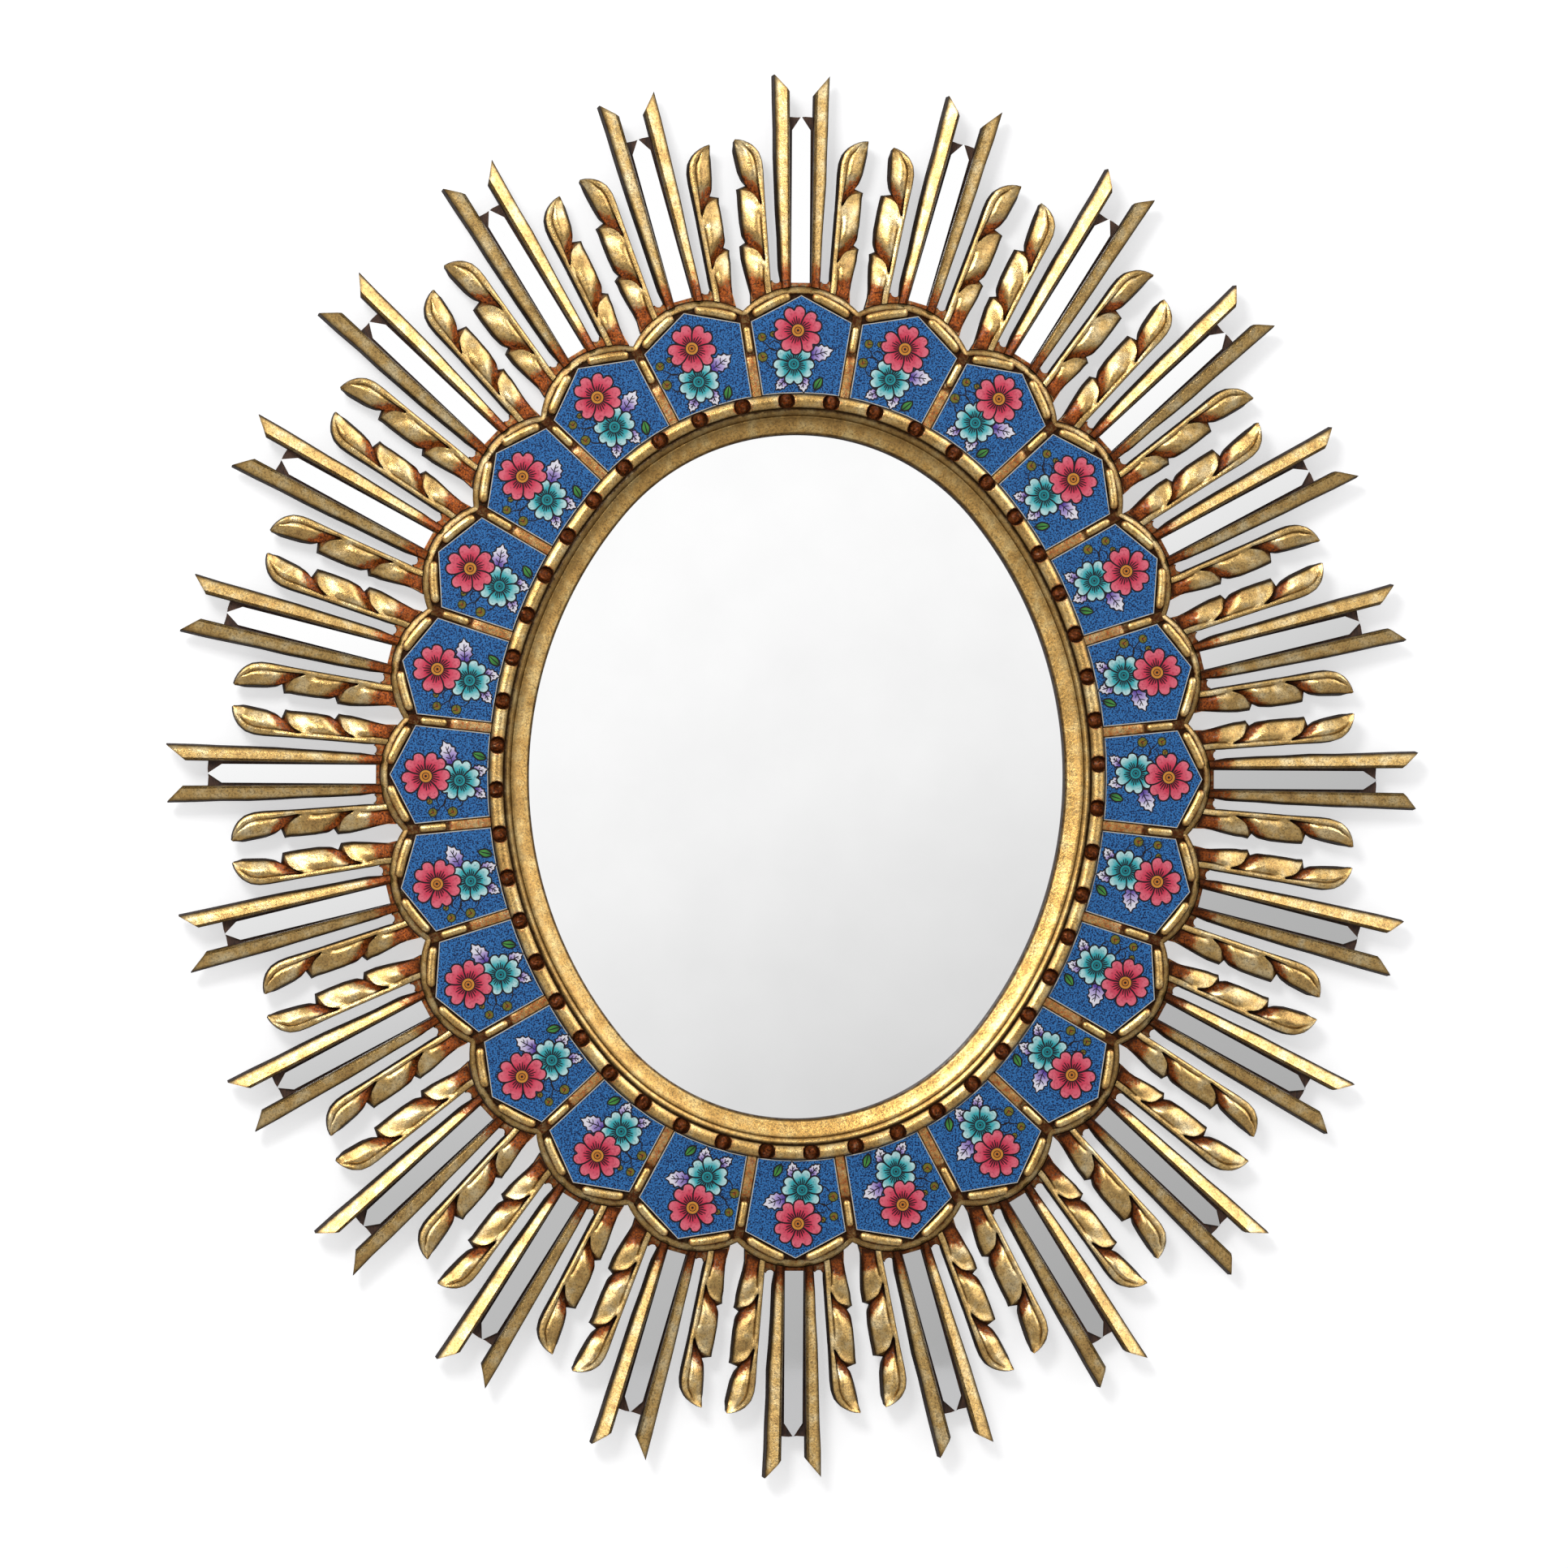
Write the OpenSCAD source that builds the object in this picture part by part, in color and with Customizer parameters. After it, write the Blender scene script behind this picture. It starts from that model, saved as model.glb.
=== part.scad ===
// Oval sunburst mirror: carved and gilded frame with reverse painted glass tiles.
// Pieces are drawn lying on their backs and stood up at the end: front faces -Y, up is +Z.

/* [Oval opening] */
// Width of the oval opening
opening_w = 267; // [255:1:280]
// Height of the oval opening
opening_h = 340; // [330:1:355]
// Radius of the sharper arcs at the top and bottom, as a share of the opening's width
end_share = 0.423; // [0.405:0.003:0.441]

/* [Back and mirror] */
// Thickness of the back panel
panel_t = 5; // [5:0.5:8]
// How far the back panel reaches past the opening
panel_reach = 24; // [18:1:26]
// Thickness of the oval frame board
board_t = 6; // [5:0.5:10]
// How far the frame board reaches past the opening
board_reach = 60; // [56:1:61]
// Thickness of the mirror glass
mirror_t = 3; // [2:0.5:4]
// How far the mirror glass reaches under the sight moulding
mirror_reach = 7; // [5:0.5:10]
// Clearance round glass in its recess
glass_gap = 0.25; // [0.1:0.05:0.4]

/* [Mouldings] */
// Width of the sight moulding next to the mirror
sight_w = 12.5; // [12:0.5:14]
// Height of the sight moulding above the frame board
sight_h = 9; // [7:0.5:12]
// Radius of the rounded face of the sight moulding
sight_round = 12; // [11:0.5:16]
// Width of the bead and reel moulding
bead_w = 7.2; // [6:0.2:8]
// Height of the bead and reel moulding above the frame board
bead_h = 11.5; // [10:0.5:14]
// Radius of a drilled reel
reel_r = 4.1; // [3:0.1:4.6]
// Depth of a drilled reel below the top of the bead
reel_depth = 4; // [3:0.5:5]
// Place of the first reel as a share of the reel spacing
reel_start = 0.67; // [0:0.01:1]

/* [Tile surround] */
// Thickness of the surround under the tiles
surround_t = 2; // [1.5:0.5:4]
// Thickness of a glass tile
tile_t = 2.5; // [2:0.5:3]
// Distance from the opening to the side corners of a tile
tile_corner = 57.5; // [55:0.5:60]
// Distance from the opening to the point of a tile
tile_point = 69; // [66:0.5:70]
// Width of the bar between two tiles
divider_w = 5; // [3:0.2:7]
// Height of that bar above the surround
divider_h = 2; // [1:0.25:3]
// Radius of the round beads on the surround
round_bead_r = 2.3; // [1.6:0.1:2.6]
// Distance from the opening to the top of a scallop
scallop_reach = 73.5; // [73:0.5:78]
// Radius of a scallop
scallop_r = 40; // [36:1:46]

/* [Rays] */
// Distance from the opening to the tip of a ray
ray_reach = 179.5; // [175:0.5:190]
// Distance from the opening to the end of the web that carries the mirror sliver
web_reach = 158.5; // [150:0.5:162]
// How far a ray on the diagonal leans from the even 15 degree fan
ray_turn = 2; // [0:0.25:3]
// Thickness of the ray's tongue on the frame board
tongue_t = 3; // [2:0.5:5]
// Width of a mirror sliver
sliver_w = 9.2; // [7:0.2:10]
// Thickness of a mirror sliver
sliver_t = 2; // [1.5:0.5:3]
// Length of a sliver's point
sliver_point = 7; // [4:0.5:12]
// Thickness of the web behind the sliver
web_t = 5; // [3:0.5:8]
// Width of a blade at its root
blade_root_w = 4.6; // [3.5:0.2:5]
// Width of a blade near its tip
blade_end_w = 8; // [5:0.2:9]
// Height of a blade's ridge above the back of the frame board
blade_h = 12.5; // [10:0.5:16]
// Slope of a blade's wide face
blade_slope = 24; // [10:1:35]
// Distance from the middle of the ray to the inner edge of a leaf at its root
leaf_in = 14.6; // [14:0.2:16]
// Outward lean of a leaf from its ray
leaf_lean = 4.4; // [3:0.2:7]
// Reach of a leaflet's tip from the spine
leaf_w = 13.2; // [11:0.2:14]
// Depth of the notch above a leaflet's tip
leaf_notch = 4; // [2:0.25:6]
// Spacing of the leaflets along the spine
leaflet_pitch = 28; // [24:0.5:30]
// Length of the whole leaf
leaf_l = 74.5; // [70:0.5:80]
// Height of a leaflet's belly above the back of the frame board
leaf_h = 11; // [9:0.5:14]

/* [Hanger] */
// Width of the hanger strap
strap_w = 12; // [11:0.5:14]
// Thickness of the hanger strap
strap_t = 1.2; // [1:0.1:1.4]
// Length of the strap from its end to the hinge line
strap_l = 21; // [20:0.5:23]
// Distance from the opening to the hinge line of the hanger
hanger_reach = 47; // [46:0.5:48]
// Radius of the hanger ring's wire
wire_r = 1.3; // [1:0.05:1.4]
// Half the width of the hanger ring, on the wire's centre
ring_half_w = 8.5; // [8.3:0.1:10]
// Length of the ring's straight legs
ring_leg = 5; // [4:0.5:7]
// Running clearance between the wire and the strap's loop
hinge_gap = 0.2; // [0.1:0.05:0.25]

/* [Screws] */
// Radius of a screw's shank
screw_r = 1.25; // [1:0.05:1.4]
// Radius of a screw's head
screw_head_r = 2.7; // [2.4:0.1:2.8]
// Length of a screw
screw_l = 9; // [8:0.5:9.5]
// Distance from the opening to the panel screws
screw_reach = 16; // [14:0.5:16]

/* [Hidden] */
sectors = 24;
reels = 2 * sectors;
$fn = 96;
eps = 0.01;
seam = 0.15;
head_h = 1.5;
hole_gap = 0.1;
loop_wall = 0.9;
ring_bend = 2;
tall = 30;

// The oval is four arcs: two of radius end_r at the ends and two of radius side_r at the sides.
end_r = end_share * opening_w;
half_w = opening_w / 2;
half_h = opening_h / 2;
side_r = (half_w * half_w + half_h * half_h - 2 * half_h * end_r) / (2 * (half_w - end_r));
end_c = half_h - end_r;
side_c = side_r - half_w;
join_a = atan2(side_c, end_c);

// Levels above the wall, from the back panel to the front.
z_board = panel_t;
z_face = z_board + board_t;
z_surround = z_face + tongue_t;
z_tile = z_surround + surround_t;

// Distances from the opening, from the mirror outwards.
bead_in = sight_w + 0.4;
bead_out = bead_in + bead_w;
surround_in = bead_out + seam;
tile_in = surround_in + glass_gap;
pitch_line = (surround_in + tile_point) / 2;
ray_line = scallop_reach + 7.5;
root_out = scallop_reach + 1.5;
root_in = board_reach - 2;
root_cut = board_reach + 2 * seam;

// Sizes of the carving that follow from the ones above.
z_bead = z_tile + 1.2;
sight_crown = 3;
moulding_base = 2;
fillet = 0.3;
glue_a = 0.03;
glue_depth = 0.05;
core_sides = 12;
core_inset = 0.4;
rim_w = 5;
reel_ball_r = 2.4;
chevron_start = 2.5;
chevron_stop = 4.7;
divider_out = tile_corner + 4;
divider_bead_in = tile_corner - 15;
divider_bead_out = tile_corner - 2;
tongue_in = surround_in + 0.3;
valley = divider_out + 1.5;
valley_r = 4.2;
root_half_w = leaf_in + leaf_w - leaf_notch / 5;
web_lap = 1.6;
sliver_in = valley + 3.5;
slot_mid = (sliver_w / 2 + blade_root_w + leaf_in) / 2 + 0.4;
slot_r = 2.3;
blade_splay = 0.7;
blade_ridge = 1.5;
blade_cut = 9.2;
leaf_foot = root_out - 2;
leaf_floor = 5.5;
spine_w = 2.4;
spine_h = 8.5;
leaflet_slant = 8;
belly_back = 10;
belly_r = 34;

// The hanger's hinge line and the strap's loop.
loop_r = wire_r + hinge_gap + loop_wall;
hinge_y = half_h + hanger_reach;
hinge_z = z_board - loop_r;
strap_end = 4.5;
strap_screw_gap = 8;
slot_w = 0.7;

// A direction is measured clockwise from the top, seen from the front.
function along(a) = [sin(a), cos(a)];
function across(a) = [cos(a), -sin(a)];

// Point at distance s outside the opening where the oval faces direction a.
function oval_point(a, s) =
    abs(cos(a)) >= cos(join_a)
        ? [0, sign(cos(a)) * end_c] + (end_r + s) * along(a)
        : [-sign(sin(a)) * side_c, 0] + (side_r + s) * along(a);

// Length of a quarter of the line at distance s, and of its end arc alone.
function end_len(s) = (end_r + s) * join_a * PI / 180;
function quarter_len(s) = end_len(s) + (side_r + s) * (90 - join_a) * PI / 180;

// Direction that the oval faces after the share q of a quarter of that line.
function quarter_facing(q, s) =
    q * quarter_len(s) <= end_len(s)
        ? q * quarter_len(s) / (end_r + s) * 180 / PI
        : join_a + (q * quarter_len(s) - end_len(s)) / (side_r + s) * 180 / PI;

// The same for the share f of the whole way round, clockwise from the top.
function turn(f) = f - floor(f);
function facing(f, s) =
    turn(f) <= 0.25 ? quarter_facing(4 * turn(f), s)
    : turn(f) <= 0.5 ? 180 - quarter_facing(2 - 4 * turn(f), s)
    : turn(f) <= 0.75 ? 180 + quarter_facing(4 * turn(f) - 2, s)
    : 360 - quarter_facing(4 - 4 * turn(f), s);

// Tiles and dividers stand square to the oval, evenly spaced on the pitch line.
function tile_a(i) = facing(i / sectors, pitch_line);
function line_point(i, s, side) = oval_point(tile_a(i), s) + side * across(tile_a(i));

// Rays fan out nearly evenly from roots evenly spaced on the ray line.
function ray_a(i) = 360 * i / sectors + ray_turn * sin(720 * i / sectors);
function ray_root(i) = oval_point(facing(i / sectors, ray_line), ray_line);

// Point at distance s from the opening on the line of ray i, and u to its right.
function ray_point(i, u, s) = ray_root(i) + (s - ray_line) * along(ray_a(i)) + u * across(ray_a(i));

// Sweeps a profile round the oval in four lengths, with a fine glue joint between each two.
// The profile's x is the distance from the opening and its y the height.
module oval_sweep() {
    for (flip = [0, 180])
        rotate([0, 0, flip]) {
            translate([0, end_c, 0])
            rotate_extrude(angle = 2 * join_a - 2 * glue_a, start = 90 - join_a + glue_a)
            translate([end_r, 0])
            children();
            translate([-side_c, 0, 0])
            rotate_extrude(angle = 180 - 2 * join_a, start = join_a - 90)
            translate([side_r, 0])
            children();
        }
}

// Solid oval plate that reaches s past the opening: four curved rims on one core.
// The core's corners are given as a direction and a distance in from the plate's edge.
module oval_plate(s, h) {
    corners = concat(
        [for (k = [0 : core_sides])
            [join_a * (2 * k / core_sides - 1), k % core_sides == 0 ? glue_depth : core_inset]],
        [for (k = [1 : core_sides - 1])
            [join_a + (180 - 2 * join_a) * k / core_sides, core_inset]]
    );
    linear_extrude(h)
    polygon([for (half = [0, 180], c = corners) oval_point(half + c[0], s - c[1])]);
    oval_sweep()
    translate([s - rim_w, 0])
    square([rim_w, h]);
}

// Flat oval ring between two distances from the opening.
module oval_ring(s_in, s_out, h) {
    difference() {
        oval_plate(s_out, h);
        translate([0, 0, -1])
        oval_plate(s_in, h + 2);
    }
}

// Half-buried round bead from p to q, with its axis at height z.
module round_bead(p, q, z) {
    translate([p[0], p[1], z])
    rotate([0, 90, atan2(q[1] - p[1], q[0] - p[0])])
    cylinder(h = norm(q - p), r = round_bead_r);
}

// Countersunk screw standing on its head, or the hole for one.
module screw_form(gap) {
    rotate_extrude()
    polygon([
        [0, 0], [screw_head_r + gap, 0], [screw_r + gap, head_h],
        [screw_r + gap, screw_l + gap], [0, screw_l + gap]
    ]);
}

// Puts its children at each panel screw and each strap screw, with the head's face at z = 0.
module at_screws() {
    for (k = [0 : 7])
        translate(oval_point(facing((k + 0.5) / 8, screw_reach), screw_reach))
        children();
    for (k = [0, 1])
        translate([0, hinge_y - strap_l + strap_end + k * strap_screw_gap, z_board - strap_t])
        children();
}

module back_panel() {
    color("peru")
    difference() {
        oval_plate(panel_reach, panel_t);
        at_screws() screw_form(hole_gap);
    }
}

module packing_card() {
    color("tan")
    translate([0, 0, z_board])
    oval_plate(mirror_reach, board_t - mirror_t);
}

module mirror_glass() {
    color("silver")
    translate([0, 0, z_face - mirror_t])
    oval_plate(mirror_reach, mirror_t);
}

module frame_board() {
    color("saddlebrown")
    difference() {
        translate([0, 0, z_board])
        oval_ring(mirror_reach + glass_gap, board_reach, board_t);
        at_screws() screw_form(hole_gap);
    }
}

module sight_moulding() {
    color("goldenrod") {
        translate([0, 0, z_face])
        oval_ring(0, sight_w, moulding_base);
        oval_sweep()
        translate([0, z_face])
        intersection() {
            translate([fillet, moulding_base / 2])
            square([sight_w - 2 * fillet, sight_h]);
            translate([sight_w - sight_crown, sight_h - sight_round])
            circle(r = sight_round);
        }
    }
}

// Ring-shaped cut that leaves a ball standing in a drilled reel.
module reel_cut() {
    rotate_extrude($fn = 32)
    difference() {
        square([reel_r, reel_depth + 1]);
        circle(r = reel_ball_r);
    }
}

module bead_moulding() {
    round_w = bead_w - 2 * fillet;
    spring_line = bead_h - round_w / 2;
    color("gold")
    difference() {
        union() {
            translate([0, 0, z_face])
            oval_ring(bead_in, bead_out, moulding_base);
            oval_sweep()
            translate([bead_in + fillet, z_face]) {
                translate([0, moulding_base / 2])
                square([round_w, spring_line - moulding_base / 2]);
                translate([round_w / 2, spring_line])
                circle(d = round_w);
            }
        }
        for (k = [0 : reels - 1])
            translate(oval_point(facing((k + reel_start) / reels, bead_in), bead_in + bead_w / 2))
            translate([0, 0, z_face + bead_h - reel_depth])
            reel_cut();
    }
}

// Disc under tile i. The row of discs gives the surround its scalloped edge.
module scallop(i, extra, h) {
    translate(oval_point(tile_a(i), scallop_reach - scallop_r))
    cylinder(h = h, r = scallop_r + extra);
}

// Two beads along the pointed outer edge of tile i.
module chevron(i) {
    point = oval_point(tile_a(i), tile_point);
    for (side = [-1, 1]) {
        corner = line_point(i + side / 2, tile_corner, -side * divider_w / 2);
        run = (point - corner) / norm(point - corner);
        out = (round_bead_r + glass_gap) * side * [-run[1], run[0]] * -1;
        round_bead(corner + chevron_start * run + out, point - chevron_stop * run + out, z_bead);
    }
}

// Bar between tile i and the next, with a round bead on its outer half.
module divider(i) {
    a = tile_a(i + 0.5);
    translate(oval_point(a, surround_in))
    rotate([0, 0, -a])
    translate([-divider_w / 2, 0, z_tile - eps])
    cube([divider_w, divider_out - surround_in, divider_h + eps]);
    round_bead(oval_point(a, divider_bead_in), oval_point(a, divider_bead_out), z_bead);
}

module tile_surround() {
    color("goldenrod")
    difference() {
        union() {
            for (i = [0 : sectors - 1]) {
                translate([0, 0, z_surround])
                scallop(i, 0, surround_t);
                chevron(i);
                divider(i);
            }
        }
        translate([0, 0, z_surround - 1])
        oval_plate(surround_in, tall);
    }
}

module glass_tile(i) {
    edge = divider_w / 2 + glass_gap;
    color("royalblue")
    translate([0, 0, z_tile])
    linear_extrude(tile_t)
    polygon([
        line_point(i - 0.5, tile_in, edge), line_point(i - 0.25, tile_in, 0),
        line_point(i, tile_in, 0),
        line_point(i + 0.25, tile_in, 0), line_point(i + 0.5, tile_in, -edge),
        line_point(i + 0.5, tile_corner, -edge),
        line_point(i, tile_point, 0),
        line_point(i - 0.5, tile_corner, edge)
    ]);
}

// Stands its children on ray i: x to the right of its line and y the distance from the opening.
module on_ray(i) {
    translate(ray_root(i))
    rotate([0, 0, -ray_a(i)])
    translate([0, -ray_line, z_board])
    children();
}

// Blade on the right of the sliver: a ridged bar that widens towards a slanting end.
module blade() {
    length = ray_reach - root_in;
    translate([sliver_w / 2 + glass_gap, root_in, 0])
    rotate([0, 0, -blade_splay])
    intersection() {
        linear_extrude(blade_h)
        polygon([
            [0, 0], [0, length - blade_cut], [blade_end_w, length],
            [blade_root_w, root_out - root_in], [blade_root_w, 0]
        ]);
        translate([0, length, 0])
        rotate([90, 0, 0])
        linear_extrude(length)
        polygon([
            [0, 0], [0, blade_h - blade_ridge], [blade_ridge, blade_h],
            [blade_end_w, blade_h - (blade_end_w - blade_ridge) * tan(blade_slope)], [blade_end_w, 0]
        ]);
    }
}

// Outline of a leaflet whose tip is at q along the spine. The last one curls away from the ray.
function curl(r) = [for (a = [0 : 18 : 90]) [leaf_w - r * cos(a), leaf_l - leaf_w + r * sin(a)]];
function leaflet(q) = [
    [spine_w, q - leaflet_pitch - leaflet_slant], [leaf_w - leaf_notch, q - leaflet_pitch],
    [leaf_w - leaf_notch / 3, q - leaflet_pitch / 2], [leaf_w, q], [spine_w, q - leaflet_slant]
];
function last_leaflet() = concat(
    [
        [spine_w, leaf_l - leaflet_pitch - leaflet_slant], [leaf_w - leaf_notch, leaf_l - leaflet_pitch],
        [leaf_w - leaf_notch / 3, leaf_l - leaflet_pitch / 2]
    ],
    [for (k = [5 : -1 : 0]) curl(leaf_w - spine_w)[k]]
);

// Belly of a leaflet: its outline cut to a rounded back that dies into the leaf at both ends.
module belly(outline, q) {
    intersection() {
        linear_extrude(leaf_h)
        polygon(outline);
        translate([0, q - belly_back, leaf_h - belly_r])
        rotate([0, 90, 0])
        cylinder(h = leaf_w, r = belly_r);
    }
}

// Leaf on the right of the ray, with its spine on the ray's side.
module leaf() {
    translate([leaf_in, leaf_foot, 0])
    rotate([0, 0, -leaf_lean]) {
        linear_extrude(leaf_floor)
        polygon(concat(
            [[0, root_in - leaf_foot], [0, 0]],
            curl(leaf_w),
            [
                [leaf_w - leaf_notch / 3, leaf_l - leaflet_pitch / 2],
                [leaf_w - leaf_notch, leaf_l - leaflet_pitch],
                [leaf_w, leaf_l - leaflet_pitch - eps],
                [leaf_w - leaf_notch / 3, leaf_l - 1.5 * leaflet_pitch],
                [leaf_w - leaf_notch, leaf_l - 2 * leaflet_pitch],
                [leaf_w, leaf_l - 2 * leaflet_pitch - eps],
                [leaf_w - leaf_notch / 3, 0],
                [leaf_w - leaf_notch / 3, root_in - leaf_foot]
            ]
        ));
        linear_extrude(spine_h)
        polygon(concat(
            [[0, root_in - leaf_foot]],
            curl(leaf_w),
            [for (k = [5 : -1 : 0]) curl(leaf_w - spine_w)[k]],
            [[spine_w, root_in - leaf_foot]]
        ));
        for (k = [1, 2])
            belly(leaflet(leaf_l - k * leaflet_pitch), leaf_l - k * leaflet_pitch);
        belly(last_leaflet(), leaf_l);
    }
}

// The frame board's share behind ray i, with the seam between the two.
module board_bed(i) {
    translate([0, 0, z_board - 1])
    linear_extrude(board_t + 1)
    polygon(concat(
        [[0, 0]],
        [for (k = [-4 : 4]) oval_point(facing((i + k / 4) / sectors, root_cut), root_cut)]
    ));
}

// Carved ray: leaf, blade, web, blade and leaf, on a tongue that lies on the frame board.
// The strap's screws go through the board into the top ray.
module ray_segment(i) {
    edge = seam / 2;
    color("goldenrod")
    difference() {
        union() {
            translate([0, 0, z_face])
            linear_extrude(tongue_t)
            polygon([
                ray_point(i - 0.5, seam, tongue_in), ray_point(i - 0.25, 0, tongue_in),
                ray_point(i, 0, tongue_in),
                ray_point(i + 0.25, 0, tongue_in), ray_point(i + 0.5, -seam, tongue_in),
                ray_point(i + 0.5, -seam, valley), ray_point(i - 0.5, seam, valley)
            ]);
            translate([0, 0, z_board])
            linear_extrude(board_t + tongue_t)
            polygon([
                ray_point(i - 0.5, edge, root_in), ray_point(i - 0.25, 0, root_in),
                ray_point(i, 0, root_in),
                ray_point(i + 0.25, 0, root_in), ray_point(i + 0.5, -edge, root_in),
                ray_point(i + 0.5, -edge, valley), ray_point(i, root_half_w, root_out),
                ray_point(i, -root_half_w, root_out), ray_point(i - 0.5, edge, valley)
            ]);
            on_ray(i) {
                translate([-sliver_w / 2 - web_lap, root_in, 0])
                cube([sliver_w + 2 * web_lap, web_reach - root_in, web_t]);
                for (side = [0, 1])
                    mirror([side, 0, 0]) {
                        blade();
                        leaf();
                    }
            }
        }
        board_bed(i);
        if (i == 0) at_screws() screw_form(hole_gap);
        translate([0, 0, z_surround])
        for (k = [-1 : 1])
            scallop(i + k, seam, tall);
        on_ray(i) {
            translate([-sliver_w / 2 - glass_gap, sliver_in - glass_gap, web_t])
            cube([sliver_w + 2 * glass_gap, root_out - sliver_in + 2, tall]);
            for (side = [-1, 1])
                translate([side * slot_mid, root_out + slot_r - 1, -1])
                cylinder(h = tall, r = slot_r);
        }
        for (side = [-0.5, 0.5])
            translate(concat(ray_point(i + side, 0, valley + valley_r - 1), [z_board - 1]))
            cylinder(h = tall, r = valley_r);
    }
}

module mirror_slivers() {
    shoulder = web_reach - sliver_point;
    color("silver")
    for (i = [0 : sectors - 1])
        on_ray(i)
        translate([0, 0, web_t])
        linear_extrude(sliver_t)
        polygon([
            [-sliver_w / 2, sliver_in], [sliver_w / 2, sliver_in], [sliver_w / 2, shoulder],
            [0, web_reach], [-sliver_w / 2, shoulder]
        ]);
}

module back_screws() {
    color("gray")
    at_screws()
    difference() {
        screw_form(0);
        translate([-screw_head_r - 1, -slot_w / 2, -1])
        cube([2 * screw_head_r + 2, slot_w, 1 + slot_w]);
    }
}

module hanger_strap() {
    color("darkgray")
    difference() {
        union() {
            translate([-strap_w / 2, hinge_y - strap_l, z_board - strap_t])
            cube([strap_w, strap_l, strap_t]);
            translate([-strap_w / 2, hinge_y, hinge_z])
            rotate([0, 90, 0])
            cylinder(h = strap_w, r = loop_r);
        }
        translate([-strap_w / 2 - 1, hinge_y, hinge_z])
        rotate([0, 90, 0])
        cylinder(h = strap_w + 2, r = wire_r + hinge_gap);
        at_screws() screw_form(hole_gap);
    }
}

// Wire D-ring: a bar in the strap's loop, two bent corners, two legs and a round bow.
module hanger_ring() {
    color("silver")
    translate([0, hinge_y, hinge_z]) {
        translate([ring_bend - ring_half_w, 0, 0])
        rotate([0, 90, 0])
        cylinder(h = 2 * (ring_half_w - ring_bend), r = wire_r);
        for (side = [0, 1])
            mirror([side, 0, 0]) {
                translate([ring_half_w - ring_bend, ring_bend, 0])
                rotate_extrude(angle = 90, start = -90)
                translate([ring_bend, 0])
                circle(r = wire_r);
                translate([ring_half_w, ring_bend, 0])
                rotate([-90, 0, 0])
                cylinder(h = ring_leg, r = wire_r);
            }
        translate([0, ring_bend + ring_leg, 0])
        rotate_extrude(angle = 180, start = 0)
        translate([ring_half_w, 0])
        circle(r = wire_r);
    }
}

// Stands the mirror up on the wall.
module stand() {
    rotate([90, 0, 0])
    children();
}

stand() back_panel();
stand() packing_card();
stand() mirror_glass();
stand() frame_board();
stand() sight_moulding();
stand() bead_moulding();
stand() tile_surround();
stand() ray_segment(0);  // ray_segment_01
stand() ray_segment(1);  // ray_segment_02
stand() ray_segment(2);  // ray_segment_03
stand() ray_segment(3);  // ray_segment_04
stand() ray_segment(4);  // ray_segment_05
stand() ray_segment(5);  // ray_segment_06
stand() ray_segment(6);  // ray_segment_07
stand() ray_segment(7);  // ray_segment_08
stand() ray_segment(8);  // ray_segment_09
stand() ray_segment(9);  // ray_segment_10
stand() ray_segment(10);  // ray_segment_11
stand() ray_segment(11);  // ray_segment_12
stand() ray_segment(12);  // ray_segment_13
stand() ray_segment(13);  // ray_segment_14
stand() ray_segment(14);  // ray_segment_15
stand() ray_segment(15);  // ray_segment_16
stand() ray_segment(16);  // ray_segment_17
stand() ray_segment(17);  // ray_segment_18
stand() ray_segment(18);  // ray_segment_19
stand() ray_segment(19);  // ray_segment_20
stand() ray_segment(20);  // ray_segment_21
stand() ray_segment(21);  // ray_segment_22
stand() ray_segment(22);  // ray_segment_23
stand() ray_segment(23);  // ray_segment_24
stand() glass_tile(0);  // glass_tile_01
stand() glass_tile(1);  // glass_tile_02
stand() glass_tile(2);  // glass_tile_03
stand() glass_tile(3);  // glass_tile_04
stand() glass_tile(4);  // glass_tile_05
stand() glass_tile(5);  // glass_tile_06
stand() glass_tile(6);  // glass_tile_07
stand() glass_tile(7);  // glass_tile_08
stand() glass_tile(8);  // glass_tile_09
stand() glass_tile(9);  // glass_tile_10
stand() glass_tile(10);  // glass_tile_11
stand() glass_tile(11);  // glass_tile_12
stand() glass_tile(12);  // glass_tile_13
stand() glass_tile(13);  // glass_tile_14
stand() glass_tile(14);  // glass_tile_15
stand() glass_tile(15);  // glass_tile_16
stand() glass_tile(16);  // glass_tile_17
stand() glass_tile(17);  // glass_tile_18
stand() glass_tile(18);  // glass_tile_19
stand() glass_tile(19);  // glass_tile_20
stand() glass_tile(20);  // glass_tile_21
stand() glass_tile(21);  // glass_tile_22
stand() glass_tile(22);  // glass_tile_23
stand() glass_tile(23);  // glass_tile_24
stand() mirror_slivers();
stand() back_screws();
stand() hanger_strap();
stand() hanger_ring();
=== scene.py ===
# Oval sunburst mirror with painted glass tiles, dressed in the order in which it is put together.
import random
import bpy
import bmesh
import numpy as np
from functools import partial
from math import atan2, copysign, cos, degrees, hypot, pi, radians, sin, sqrt
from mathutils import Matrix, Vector
from mathutils.geometry import delaunay_2d_cdt


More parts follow.
